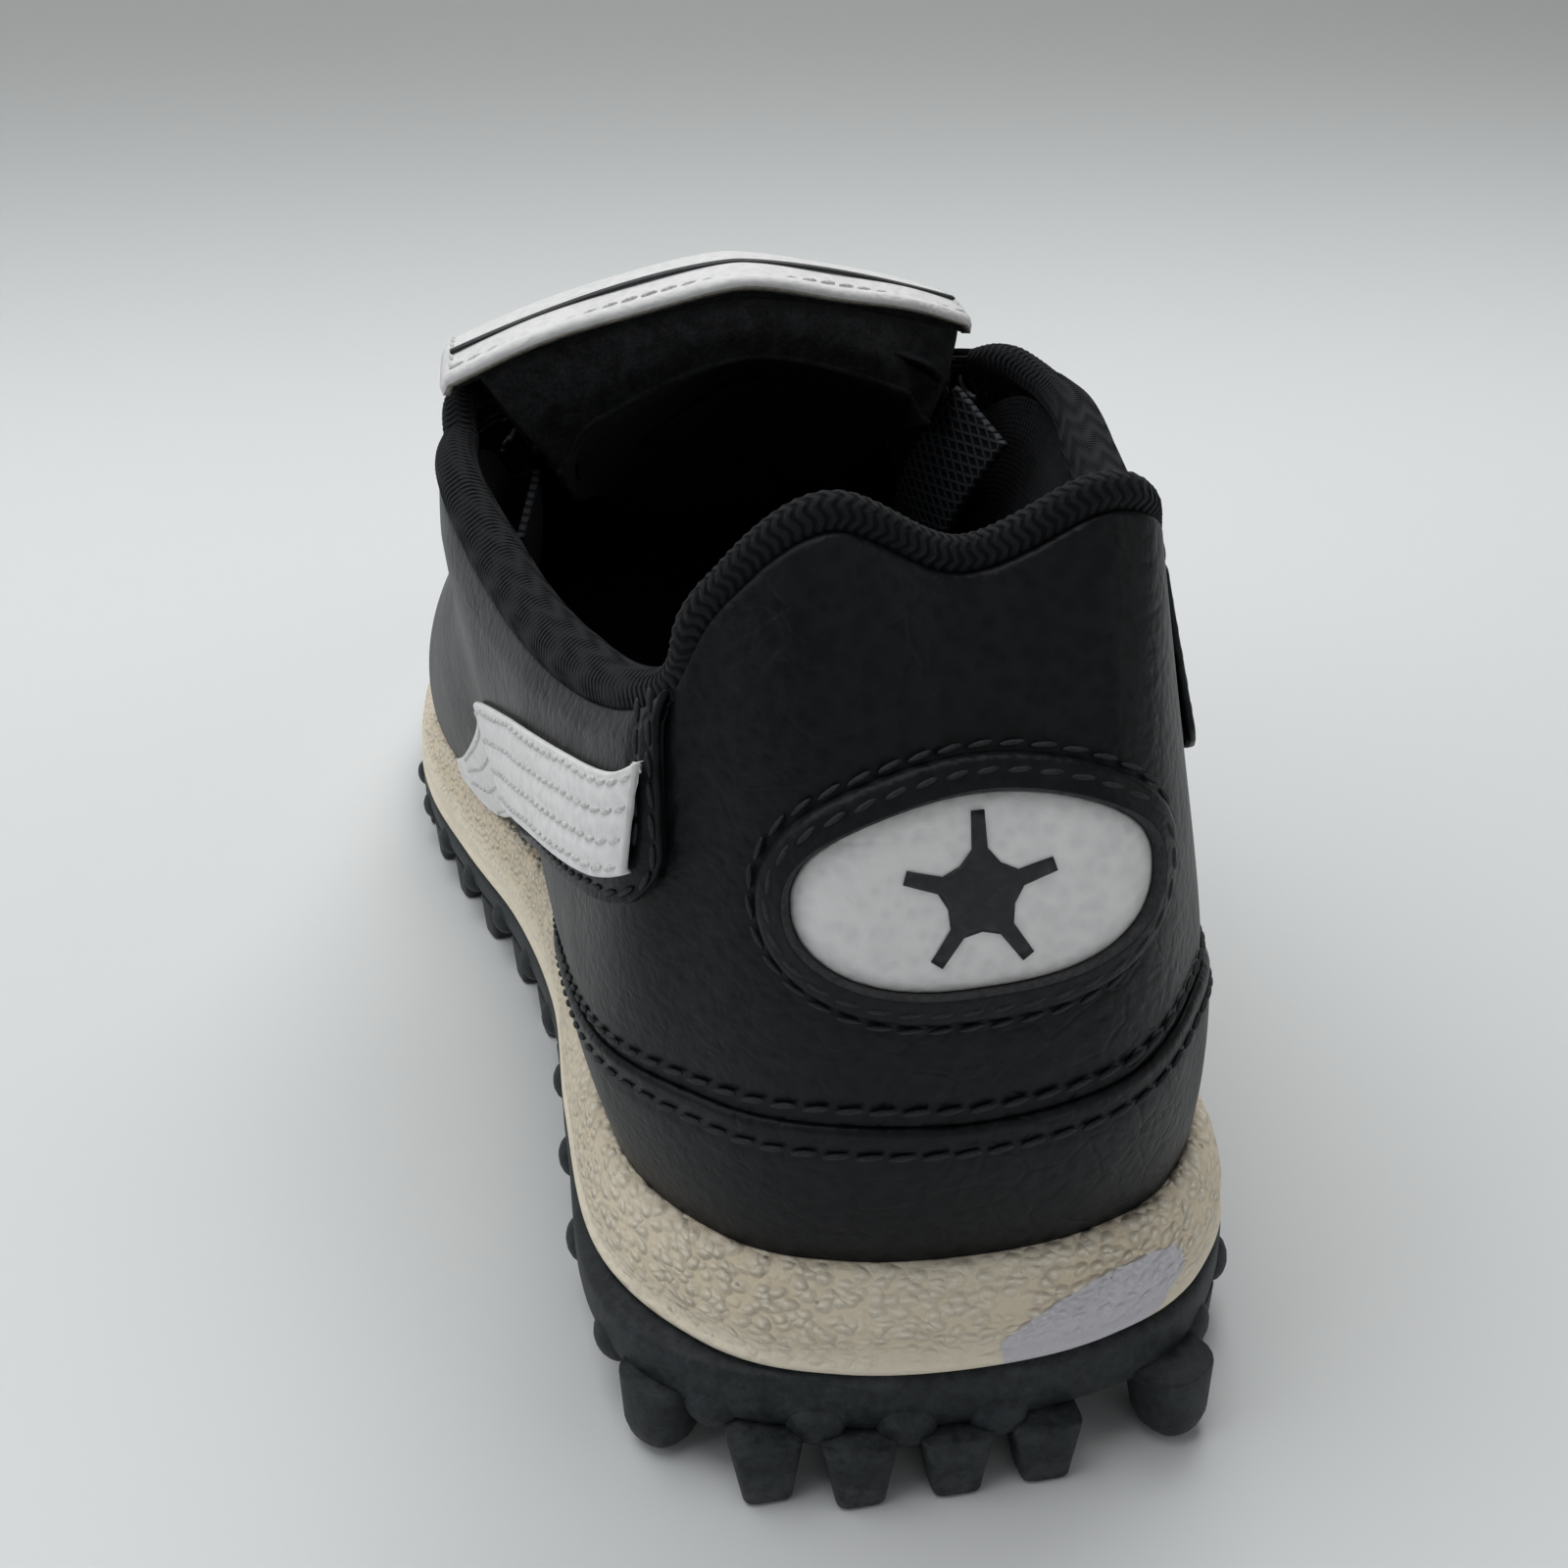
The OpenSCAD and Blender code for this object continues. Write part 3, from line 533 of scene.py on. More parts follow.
def black_rubber():
    """Turf rubber: dull and dusty, greyer where the tips of the studs wear."""
    f = Finish("black_rubber", Specular_IOR_Level=0.3)
    _, _, z = f.split()
    grain = f.noise(750.0, 5.0, rough=0.7)
    dust = f.smooth(f.noise(130.0, 6.0, rough=0.75), 0.5, 0.72)
    worn = f.smooth(z + f.noise(220.0, 4.0) * 0.004, 0.001, 0.0062, 1.0, 0.0)
    base = f.blend((0.009, 0.012, 0.014, 1), (0.030, 0.036, 0.040, 1), f.smooth(grain, 0.3, 0.7))
    base = f.blend(base, (0.10, 0.11, 0.11, 1), dust * 0.4)
    base = f.blend(base, (0.085, 0.088, 0.088, 1), worn * f.smooth(grain, 0.3, 0.65) * 0.75)
    return f.set(Base_Color=base, Roughness=0.5 + dust * 0.25 + grain * 0.15,
                 Normal=f.bump(grain + dust * 0.4, 0.0002, 0.8))


def printed(name, colour):
    """Screen print: one colour with fine grain."""
    f = Finish(name)
    grain = f.cells(1300.0)
    return f.set(Base_Color=f.blend(colour, tuple(c * 1.8 for c in colour[:3]) + (1,),
                                    f.smooth(f.noise(700.0, 3.0), 0.45, 0.75)),
                 Roughness=0.42 + grain * 0.2, Normal=f.bump(grain, 0.00008, 0.6))


def board(name, colour, scale):
    """Fibre board, foam or a raw cut edge: one colour that varies by fibres."""
    f = Finish(name, Specular_IOR_Level=0.2)
    fibres = f.noise(scale, 5.0, rough=0.7)
    return f.set(Base_Color=f.blend(colour, tuple(c * 0.6 for c in colour[:3]) + (1,),
                                    f.smooth(fibres, 0.35, 0.7)),
                 Roughness=0.8 + fibres * 0.15, Normal=f.bump(fibres, 0.0002, 0.7))


BLACK_LEATHER = leather("black_leather", (0.0032, 0.0037, 0.0046, 1), (0.0075, 0.0086, 0.0104, 1),
                        0.42)
WHITE_LEATHER = leather("white_leather", (0.76, 0.755, 0.755, 1), (0.86, 0.855, 0.85, 1), 0.5,
                        0.9, (0.50, 0.47, 0.42, 1))
RAW_EDGE = board("raw_leather_edge", (0.055, 0.056, 0.058, 1), 1500.0)
CUT_EDGE = board("cut_flap_edge", (0.62, 0.58, 0.50, 1), 1100.0)
BLACK_KNIT = knit("black_knit", (0.002, 0.0023, 0.003, 1), (0.011, 0.0125, 0.0155, 1), 0.0011)
LINING = felt("lining_fabric", (0.0025, 0.003, 0.004, 1), (0.010, 0.0115, 0.015, 1), 0.0018)
BLACK_FELT = felt("black_felt", (0.004, 0.0045, 0.005, 1), (0.021, 0.022, 0.024, 1))
LABEL = felt("grey_label", (0.008, 0.0085, 0.011, 1), (0.018, 0.019, 0.024, 1))
ELASTIC = woven("woven_elastic", (0.003, 0.0035, 0.0045, 1), (0.030, 0.034, 0.041, 1), 0.0019)
BLACK_THREAD = thread("black_thread", (0.003, 0.0035, 0.0045, 1), (0.015, 0.017, 0.021, 1))
WHITE_THREAD = thread("white_thread", (0.52, 0.52, 0.52, 1), (0.78, 0.78, 0.77, 1))
FOAM_SKIN = cream_foam()
RUBBER = black_rubber()
BLACK_PRINT = printed("black_print", (0.012, 0.013, 0.016, 1))
GREY_FOAM = board("grey_foam", (0.25, 0.27, 0.29, 1), 700.0)
STIFF_BOARD = board("stiff_board", (0.50, 0.47, 0.42, 1), 500.0)


# ---- What repeats: made by geometry nodes ----
def node_tree(name, inputs):
    """A geometry node tree with a geometry input and output and these named inputs."""
    tree = bpy.data.node_groups.new(name, "GeometryNodeTree")
    tree.interface.new_socket("Geometry", in_out="INPUT", socket_type="NodeSocketGeometry")
    for label, (kind, value) in inputs.items():
        made = tree.interface.new_socket(label, in_out="INPUT", socket_type=kind)
        if value is not None:
            made.default_value = value
    tree.interface.new_socket("Geometry", in_out="OUTPUT", socket_type="NodeSocketGeometry")
    return tree, tree.nodes.new("NodeGroupInput"), tree.nodes.new("NodeGroupOutput")


def stitch_tree():
    """Stitches lying end to end along paths. Each path's points carry the way out, 'up'."""
    tree, start, end = node_tree("stitch_row", {
        "Spacing": ("NodeSocketFloat", 0.0026), "Length": ("NodeSocketFloat", 0.0022),
        "Width": ("NodeSocketFloat", 0.0007), "Thread": ("NodeSocketMaterial", None)})
    add, link = tree.nodes.new, tree.links.new
    curve = add("GeometryNodeMeshToCurve")
    even = add("GeometryNodeResampleCurve")
    even.mode = "LENGTH"
    link(start.outputs["Geometry"], curve.inputs["Mesh"])
    link(curve.outputs[0], even.inputs["Curve"])
    link(start.outputs["Spacing"], even.inputs["Length"])
    bead = add("GeometryNodeMeshIcoSphere")
    bead.inputs["Radius"].default_value = 0.5
    bead.inputs["Subdivisions"].default_value = 2
    size = add("ShaderNodeCombineXYZ")
    shape = add("GeometryNodeTransform")
    link(start.outputs["Width"], size.inputs["X"])
    link(start.outputs["Width"], size.inputs["Y"])
    link(start.outputs["Length"], size.inputs["Z"])
    link(bead.outputs["Mesh"], shape.inputs["Geometry"])
    link(size.outputs[0], shape.inputs["Scale"])
    tangent = add("GeometryNodeInputTangent")
    way_out = add("GeometryNodeInputNamedAttribute")
    way_out.data_type = "FLOAT_VECTOR"
    way_out.inputs["Name"].default_value = "up"
    along, upright = (add("FunctionNodeAlignRotationToVector") for _ in range(2))
    along.axis, upright.axis, upright.pivot_axis = "Z", "X", "Z"
    link(tangent.outputs[0], along.inputs["Vector"])
    link(along.outputs[0], upright.inputs["Rotation"])
    link(way_out.outputs["Attribute"], upright.inputs["Vector"])
    tilt = add("FunctionNodeRotateRotation")
    tilt.rotation_space = "LOCAL"
    tilt.inputs["Rotate By"].default_value = (math.radians(9), 0, 0)
    link(upright.outputs[0], tilt.inputs["Rotation"])
    rows = add("GeometryNodeInstanceOnPoints")
    link(even.outputs[0], rows.inputs["Points"])
    link(shape.outputs[0], rows.inputs["Instance"])
    link(tilt.outputs[0], rows.inputs["Rotation"])
    real, coat = add("GeometryNodeRealizeInstances"), add("GeometryNodeSetMaterial")
    link(rows.outputs[0], real.inputs[0])
    link(real.outputs[0], coat.inputs["Geometry"])
    link(start.outputs["Thread"], coat.inputs["Material"])
    link(coat.outputs[0], end.inputs[0])
    return tree


STITCH_ROW = stitch_tree()


def use_tree(obj, tree, **values):
    """The object made over by a node tree with these inputs, worked into its mesh."""
    mod = obj.modifiers.new(tree.name, "NODES")
    mod.node_group = tree
    sockets = {s.name: s.identifier for s in tree.interface.items_tree if s.in_out == "INPUT"}
    for key, value in values.items():
        mod[sockets[key]] = value
    plain(obj)
    obj.data.polygons.foreach_set("use_smooth", [True] * len(obj.data.polygons))
    return obj


def stitches(name, rows, material, body, spacing=2.6, length=2.3, width=0.6, sink=0.18):
    """Rows of stitches; each row is (points, way out)."""
    verts, ups, edges = [], [], []
    for points, up in rows:
        k = len(verts)
        verts += [tuple(p) for p in points - unit(up) * sink * MM]
        ups += [tuple(u) for u in up]
        edges += [(k + i, k + i + 1) for i in range(len(points) - 1)]
    mesh = bpy.data.meshes.new(name)
    mesh.from_pydata(verts, edges, [])
    mesh.attributes.new("up", "FLOAT_VECTOR", "POINT").data.foreach_set(
        "vector", np.array(ups, float).ravel())
    obj = bpy.data.objects.new(name, mesh)
    bpy.context.scene.collection.objects.link(obj)
    use_tree(obj, STITCH_ROW, Spacing=spacing * MM, Length=length * MM, Width=width * MM,
             Thread=material)
    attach(obj, body)
    return obj


def settle(obj, body, slot, *nodes):
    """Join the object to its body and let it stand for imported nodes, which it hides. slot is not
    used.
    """
    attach(obj, body)
    if nodes:
        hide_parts(*nodes)
    return obj


# ---- Upper: leather panels ----
LAP, OVERLAY = 0.5, 1.3  # millimetres that one leather lies above the one below
FOX_CORNERS = [[-5.6, 0.11], [-4, 0.315], [-2.4, 0.355], [-1.2, 0.31], [0, 0.285],
               [1.7, 0.285], [3, 0.325], [4, 0.305], [5.6, 0.11]]


def offset(rows, by):
    """A table with its values moved."""
    return [[r[0], r[1] + by] for r in rows]


def smoothed(rows, step=0.1):
    """A table with its corners eased."""
    x = np.arange(rows[0][0], rows[-1][0] + step / 2, step)
    y = np.interp(x, *zip(*rows))
    pad = np.pad(y, 5, mode="edge")
    y = np.convolve(pad, np.hanning(13)[1:-1] / np.hanning(13)[1:-1].sum(), mode="valid")
    return [[float(a), float(b)] for a, b in zip(x, y[:len(x)])]


FOX_TOP = smoothed(FOX_CORNERS)


def heel_leather():
    """The foxing round the heel, and the tall panel above it up to the knit collar."""
    low_row = follow([[s, t - 0.055] for s, t in FOX_TOP if abs(s) < 4.9], 1.05)
    high_row = follow([[s, t + 0.012] for s, t in FOX_TOP if abs(s) < 4.9], 0.35)
    fox = panel_grid(-5.5, 5.5, 0.0, offset(FOX_TOP, -0.012), 0.85, 0.95, 0.8, (0, 0, 0, 1),
                     [low_row[0]], 0.35)
    settle(thicken(grid_piece("heel_foxing_leather", fox, BLACK_LEATHER), 1.9 * MM),
           "shoe", "black_leather", "heel_foxing")
    top = 0.985
    rings = [oval(1.0, k) for k in (1.75, 3.8)]
    right = [[0, 4.9], [0.3, 4.7], [0.5, 3.4], [1, 3.2]]
    panel = panel_grid(sign_ends(right), right, offset(FOX_TOP, -0.05), top, 0.0, 0.95, 0.9,
                       (0, 0, 0, 1), [high_row[0], rings[1][0]], 0.3)
    settle(thicken(grid_piece("heel_panel_leather", panel, BLACK_LEATHER), 1.3 * MM),
           "shoe", "black_leather", "heel_panel")
    stitches("heel_seam_stitches", [low_row, high_row], BLACK_THREAD, "shoe", 3.0, 2.7, 0.62)
    return rings


# the heel patch seen from behind: its centre and half sizes in table millimetres
PATCH = (-0.7, 63.2)
PATCH_HALF = (15.7, 8.3)


def heel_at(x, z):
    """The station and height on the heel's face behind the point (x, z), by Newton's steps."""
    x, z = np.broadcast_arrays(np.asarray(x, float), np.asarray(z, float))
    s, t = -x / 13.0, 0.605 + (z - 63.8) / 66.0
    for _ in range(8):
        p = last(s, t)
        ds, dt = (last(s + 0.01, t) - p) / 0.01, (last(s, t + 0.002) - p) / 0.002
        det = ds[..., 0] * dt[..., 2] - ds[..., 2] * dt[..., 0]
        ex, ez = x - p[..., 0], z - p[..., 2]
        s = s + (ex * dt[..., 2] - ez * dt[..., 0]) / det
        t = t + (ds[..., 0] * ez - ds[..., 2] * ex) / det
    return s, t


def oval_at(angle, scale=1.0, grow=0.0):
    """Points of the patch's outline, a little fuller than an ellipse and leaning slightly."""
    c, s = np.cos(angle), np.sin(angle)
    c, s = (np.sign(k) * np.abs(k) ** 0.88 for k in (c, s))
    x = (PATCH_HALF[0] * scale + grow * 0.86) * c
    z = (PATCH_HALF[1] * scale + grow) * s
    return heel_at(PATCH[0] + x, PATCH[1] + z + x * 0.03)


def oval(scale=1.0, grow=0.0, d=0.5, count=220):
    """An oval path round the patch, grow millimetres outside its edge."""
    s, t = oval_at(np.linspace(0, 2 * np.pi, count), scale, grow)
    return skin(s, t, d), skin_normal(s, t)


def heel_patch_set(rings):
    """The white oval patch, the stitched ring round it and a football panel printed on it."""
    a = np.linspace(0, 2 * np.pi, 121)[:-1, None]
    r = np.array([0, 0.15, 0.3, 0.45, 0.6, 0.72, 0.82, 0.9, 0.95, 0.98, 1.0])[None, :]
    s, t = oval_at(a + 0 * r, r + 0 * a)
    d = 1.15 - 0.45 * np.clip((r - 0.8) / 0.2, 0, 1) ** 2 + 0 * a
    patch = grid_piece("heel_patch_leather", skin(s, t, d)[:, ::-1], WHITE_LEATHER,
                       round_rows=True)
    face_out(patch)
    settle(thicken(patch, 0.6 * MM), "shoe", "white_leather", "heel_patch")
    # ring profile: a raw inner edge, a flat stitched top and an outer edge that rolls over
    grow = np.array([0.1, 0.05, 0.12, 0.35, 0.7, 1.2, 1.9, 2.4, 2.8, 3.05, 3.2])
    rise = np.array([0.4, 1.5, 1.85, 1.95, 1.9, 1.75, 1.6, 1.5, 1.25, 0.8, 0.2])
    ring = np.stack([oval(1.0, g, h, 241)[0][:-1] for g, h in zip(grow, rise)], 1)
    frame_ring = grid_piece("patch_ring", ring, BLACK_LEATHER, round_rows=True)
    frame_ring.data.materials.append(RAW_EDGE)
    cols = len(grow) - 1
    frame_ring.data.polygons.foreach_set(
        "material_index", [1 if i % cols < 3 else 0 for i in range(len(frame_ring.data.polygons))])
    settle(frame_ring, "shoe", "black_leather", "patch_frame")
    stitches("patch_stitches", [oval(1.0, 1.75, 1.68), rings[1]], BLACK_THREAD, "shoe",
             2.7, 2.4, 0.6)
    # the football panel: five sides and five seams, bent to the heel
    corners = []
    for i in range(5):
        for radius, turn in ((3.9, -11), (7.0, -5), (7.0, 5), (3.9, 11), (3.9 * 0.81, 36)):
            corners.append((radius, math.radians(90 - 72 * i - turn)))
    radii = np.linspace(0, 1, 7)[1:]
    points = [skin(*heel_at(*PATCH), 1.42)]
    for k in radii:
        for radius, angle in corners:
            points.append(skin(*heel_at(PATCH[0] + k * radius * math.cos(angle),
                                        PATCH[1] + k * radius * math.sin(angle)),
                               1.42 if k < 1 else 1.3))
    n = len(corners)
    faces = [(0, 1 + i, 1 + (i + 1) % n) for i in range(n)]
    for k in range(len(radii) - 1):
        for i in range(n):
            a0, b0 = 1 + k * n + i, 1 + k * n + (i + 1) % n
            faces.append((a0, a0 + n, b0 + n, b0))
    mark = mesh_piece("football_panel_print", points, faces, BLACK_PRINT)
    face_out(mark)
    if mark.data.polygons[0].normal.y > 0:
        mark.data.flip_normals()
    settle(thicken(mark, 0.25 * MM), "shoe", "black_print", "emblem")


# tables over the station, or over the height for an edge that runs up the wall
SEAM = 2.3
HOLES, FIRST_HOLE, HOLE_STEP, HOLE_RADIUS = 6, 7.6, 0.46, 0.0021
QUARTER_BACK = [[0, SEAM + 0.3], [0.03, SEAM + 0.16], [0.08, SEAM + 0.05], [0.15, SEAM],
                [0.45, SEAM + 0.12], [1, SEAM + 0.42]]
QUARTER_LOW = [[2.2, 0.635], [2.55, 0.63], [3.1, 0.65], [3.6, 0.62], [4, 0.585], [4.5, 0.48],
               [5.3, 0.27], [6, 0.06], [6.3, 0.02], [9, 0.02]]
QUARTER_HIGH = [[2, 0.985], [6.6, 0.985], [7.1, 1], [9.6, 1]]
BAND_LOW = [[2.6, 0.69], [3.2, 0.7], [3.9, 0.65], [4.5, 0.56], [5.3, 0.36], [6, 0.14],
            [6.5, 0.03], [8, 0.03]]
BAND_HIGH = [[2.6, 0.87], [3.5, 0.89], [4.3, 0.84], [5, 0.71], [6, 0.43], [7, 0.13],
             [7.3, 0.06]]
BAND_BACK = [[0, 2.58], [1, 2.64]]


def hole_cutter(medial):
    """Round bars through the six lace holes of one side."""
    verts, faces = [], []
    for i in range(HOLES):
        s = (FIRST_HOLE + HOLE_STEP * i) * (-1 if medial else 1)
        p, n = skin(s, 0.9), skin_normal(s, 0.9)
        side = unit(np.cross(n, [0.3, 0.5, 1.0]))
        other = np.cross(n, side)
        for h in (-0.006, 0.006):
            k = len(verts)
            for a in np.linspace(0, 2 * np.pi, 25)[:-1]:
                verts.append(p + n * h
                             + (side * math.cos(a) + other * math.sin(a)) * HOLE_RADIUS)
            faces.append(list(range(k, k + 24)))
        for a in range(24):
            b = (a + 1) % 24
            faces.append((k - 24 + a, k - 24 + b, k + b, k + a))
    cutter = mesh_piece("lace_hole_cutter", verts, faces, BLACK_THREAD)
    return face_out(cutter)


def punch(obj, cutter):
    """The object with the cutter's holes through it."""
    mod = obj.modifiers.new("Lace holes", "BOOLEAN")
    mod.operation, mod.object, mod.solver = "DIFFERENCE", cutter, "MANIFOLD"
    return plain(obj)


def side_leather(medial):
    """One side's quarter, its eyestay with the lace holes, and the side band."""
    side = "medial" if medial else "lateral"
    ahead = 0.6 if medial else 0.0
    band_ahead = 1.5 if medial else 0.0
    seam_edge, band_back = offset(QUARTER_BACK, ahead), offset(BAND_BACK, band_ahead)
    top_d = LAP + OVERLAY
    at_v = [0.0, 0.04, 0.1, 0.2, 0.35, 0.5, 0.65, 0.8, 0.97]
    rows = []
    for inset in (0.09, 0.26):
        knots = []
        for v in at_v[::-1]:
            s = float(table(v, seam_edge)) + inset
            t = float(table(s, QUARTER_LOW)) * (1 - v) + float(table(s, QUARTER_HIGH)) * v
            knots.append([s, t])
        drop = 0.022 if inset < 0.2 else 0.06
        knots = [k for k in knots if k[1] > 0.63 + drop * 1.6]
        knots += [[s, float(table(s, QUARTER_LOW)) + drop]
                  for s in np.arange(2.62 + ahead + inset, 6.0, 0.12)]
        rows.append(follow(knots, top_d, 420, medial))
    quarter = panel_grid(seam_edge, [[0, 8.5], [1, 9.6]], smoothed(QUARTER_LOW), QUARTER_HIGH,
                         [[0, top_d], [0.86, top_d], [1, top_d - 0.8]], 1.05, 0.8, (1, 1, 1, 1),
                         [r[0] for r in rows], 0.3, medial)
    piece = thicken(grid_piece("quarter_leather_" + side, quarter, BLACK_LEATHER), 1.2 * MM)
    cutter = hole_cutter(medial)
    punch(piece, cutter)
    settle(piece, "shoe", "black_leather", "quarter_" + side)

    # the eyestay with its row of lace holes
    back, front = [[0, 7], [1, 6.75]], [[0, 10.1], [1, 10.45]]
    low = smoothed([[6.7, 0.83], [7.4, 0.78], [9, 0.78], [10.5, 0.8]])
    stay_d = top_d + LAP + 1.2
    edge_row = follow([[s, float(table(s, low)) + 0.035] for s in np.arange(7.05, 10.2, 0.1)],
                      stay_d, 200, medial)
    high_row = follow([[s, 0.975] for s in np.arange(6.95, 10.3, 0.1)], stay_d, 200, medial)
    stay = panel_grid(back, front, low, 1.0, stay_d, 1.0, 0.7, (1, 1, 1, 1), [edge_row[0]], 0.25,
                      medial)
    piece = thicken(grid_piece("eyestay_leather_" + side, stay, BLACK_LEATHER), 1.1 * MM)
    punch(piece, cutter)
    settle(piece, "shoe", "black_leather", "eyestay_" + side)
    bpy.data.objects.remove(cutter)
    stitches("side_stitches_" + side, rows + [edge_row, high_row], BLACK_THREAD, "shoe",
             2.7, 2.4, 0.6)

    # the plain side band with its four stitched rows
    band_d = top_d + LAP + 0.9
    band_rows = []
    for share in (0.1, 0.36, 0.64, 0.9):
        knots = []
        for s in np.arange(2.72 + band_ahead, 6.95, 0.08):
            lo, hi = float(table(s, BAND_LOW)), float(table(s, BAND_HIGH))
            if lo + (hi - lo) * share > 0.07:
                knots.append([s, lo + (hi - lo) * share])
        band_rows.append(follow(knots, band_d, 300, medial))
    band = panel_grid(band_back, 7.25, smoothed(BAND_LOW), smoothed(BAND_HIGH), band_d, 0.9, 0.6,
                      (1, 1, 1, 1), [r[0] for r in band_rows], 0.25, medial)
    settle(thicken(grid_piece("side_band_" + side + "_leather", band, WHITE_LEATHER), 1.0 * MM),
           "shoe", "white_leather", "side_band_" + side)
    stitches("band_stitches_" + side, band_rows, WHITE_THREAD, "shoe", 2.5, 2.2, 0.62)


def toe_leather():
    """The vamp: one piece over the toe, closed across the foot in front of the throat."""
    rows, wall, across = 90, 34, 16
    closed_from = 10.78
    r = np.linspace(0, 1, rows)[:, None]
    t = np.linspace(0, 1, wall + 1)[None, :]
    s = (8.2 + 1.0 * t) * (1 - r) + TOE * r
    lateral = skin(s, t, 0)
    medial = skin(COUNT - s, t, 0)[:, ::-1]
    x = np.linspace(0, 1, across + 1)[None, 1:-1, None]
    top = lateral[:, -1:] * (1 - x) + medial[:, :1] * x
    lift = np.linalg.norm(lateral[:, -1] - medial[:, 0], axis=1)[:, None, None]
    top = top + np.array([0, 0, 1.0]) * lift * 0.10 * 4 * x * (1 - x)
    grid = np.concatenate([lateral, top, medial], 1)
    first = int(np.argmax((9.2 * (1 - r) + TOE * r)[:, 0] >= closed_from))

    def keep(i, j):
        return j < wall or j >= wall + across or i >= first

    vamp = grid_piece("vamp_leather", grid, BLACK_LEATHER, keep=keep)
    face_out(vamp)
    normals = np.array([p.normal.z for p in vamp.data.polygons])
    if normals.sum() < 0:
        vamp.data.flip_normals()
    smooth_shape = vamp.modifiers.new("Ease", "SMOOTH")
    smooth_shape.factor, smooth_shape.iterations = 0.5, 6
    settle(thicken(vamp, 1.4 * MM), "shoe", "black_leather", "vamp")


# ---- Collar ----
ROLL = [[0, 1.75], [2.2, 1.9], [3, 2.3], [4, 3.1], [5.2, 3.3], [6, 2.8], [6.8, 2.0]]


# where the roll leaves the top line and runs in under the flap, lateral then medial
ROLL_FRONT = [[[-41.8, 114.5, 85.2], [-41, 118, 86.6], [-39.4, 121.5, 87.2],
               [-37.4, 124.5, 86.8]],
              [[38.2, 112.5, 87.4], [36.6, 115.5, 88.4], [34.8, 118.5, 88.4], [33, 121.5, 87.4]]]


def roll_path(count):
    """The roll's centre line and radius, from the medial front end round the heel."""
    s = np.linspace(-6.35, 6.35, 260)
    r = table(np.abs(s), ROLL)[:, None]
    c = walls(s)[:, 3]
    into = -plan_out(walls(s + 0.05)[:, 3] - walls(s - 0.05)[:, 3])
    tuck = table(np.abs(s), [[0, 0.95], [2.4, 0.95], [3.4, 0.5], [6.5, 0.5]])[:, None]
    centre = c + into * tuck * r + np.array([0, 0, 0.8]) * (r - 2.0)
    lateral, medial = (through(np.array([centre[k]] + front), np.linspace(0, 1, 50))[1:]
                       for k, front in zip((-1, 0), ROLL_FRONT))
    centre = np.concatenate([medial[::-1], centre, lateral])
    radius = np.concatenate([np.full(49, 2.3), r[:, 0], np.full(49, 2.3)])
    run = np.concatenate([[0], np.cumsum(np.linalg.norm(np.diff(centre, axis=0), axis=1))])
    even = np.linspace(0, run[-1], count)
    ease = np.hanning(15) / np.hanning(15).sum()
    line = np.stack([np.interp(even, run, centre[:, k]) for k in range(3)], 1)
    padded = np.concatenate([np.repeat(line[:1], 7, 0), line, np.repeat(line[-1:], 7, 0)])
    line = np.stack([np.convolve(padded[:, k], ease, mode="valid") for k in range(3)], 1)
    return line, np.interp(even, run, radius), even


def collar():
    """The knit roll: a padded tube with slanting ribs knitted into its face."""
    sides, relief = 48, 0.13
    line, radius, run = roll_path(1700)
    tangent = unit(np.gradient(line, axis=0))
    into = unit(np.cross(tangent, [0, 0, 1.0]))
    up = np.cross(into, tangent)
    up *= np.sign(up[:, 2:])
    a = np.linspace(0, 2 * np.pi, sides + 1)[None, :-1, None]
    slant = np.abs(((a / (2 * np.pi) * 8) % 1) - 0.5)
    rib = 0.5 + 0.5 * np.cos(2 * np.pi * (run[:, None, None] / 0.95 + slant * 0.4))
    loops = 0.4 + 0.6 * np.abs(np.cos(a * 8))
    r = radius[:, None, None] + relief * (rib * loops - 0.6)
    tube = place(line[:, None] + into[:, None] * r * np.cos(a) + up[:, None] * r * np.sin(a))
    first, final = (np.repeat(end.mean(1, keepdims=True), sides, 1)
                    for end in (tube[:1], tube[-1:]))
    tube = np.concatenate([first, tube, final], 0)
    roll = face_out(grid_piece("collar_knit_roll", tube, BLACK_KNIT, round_cols=True))
    settle(roll, "shoe", "black_knit", "collar_binding")


def lining():
    """The quarter's lining and the foam behind it, and the toe's lining."""
    top = [[-8.6, 0.82], [-7.3, 0.82], [-6.7, 0.97], [6.7, 0.97], [7.3, 0.82], [8.6, 0.82]]
    face = [[0, -3.6], [0.5, -4.1], [0.75, -4.9], [0.9, -4.2], [1, -3.0]]
    inside = panel_grid(-8.6, 8.6, 0.04, smoothed(top), face, 1.6, 0.3, (0, 0, 0, 0))
    piece = grid_piece("quarter_lining_cloth", inside[:, ::-1], LINING)
    settle(thicken(piece, 0.8 * MM), "shoe", "lining_fabric", "quarter_lining")
    pad = panel_grid(-6.2, 6.2, [[-6.2, 0.72], [0, 0.74], [6.2, 0.72]], 0.9, -1.7, 2.0, 1.0)
    foam = thicken(grid_piece("collar_foam_pad", pad, GREY_FOAM), 1.6 * MM)
    settle(foam, "shoe", "grey_foam", "collar_padding")
    rows, cols = 60, 30
    r, t = np.linspace(0, 1, rows)[:, None], np.linspace(0, 1, cols)[None, :]
    low, high = 8.9 + 1.7 * t, COUNT - 8.9 - 1.7 * t
    s = low * (1 - r) + high * r
    toe_cloth = grid_piece("vamp_lining_cloth", skin(s, 0.04 + 0.96 * t, -3.4)[:, ::-1], LINING)
    settle(thicken(toe_cloth, 0.7 * MM), "shoe", "lining_fabric")


# ---- Sole ----
RING = 420


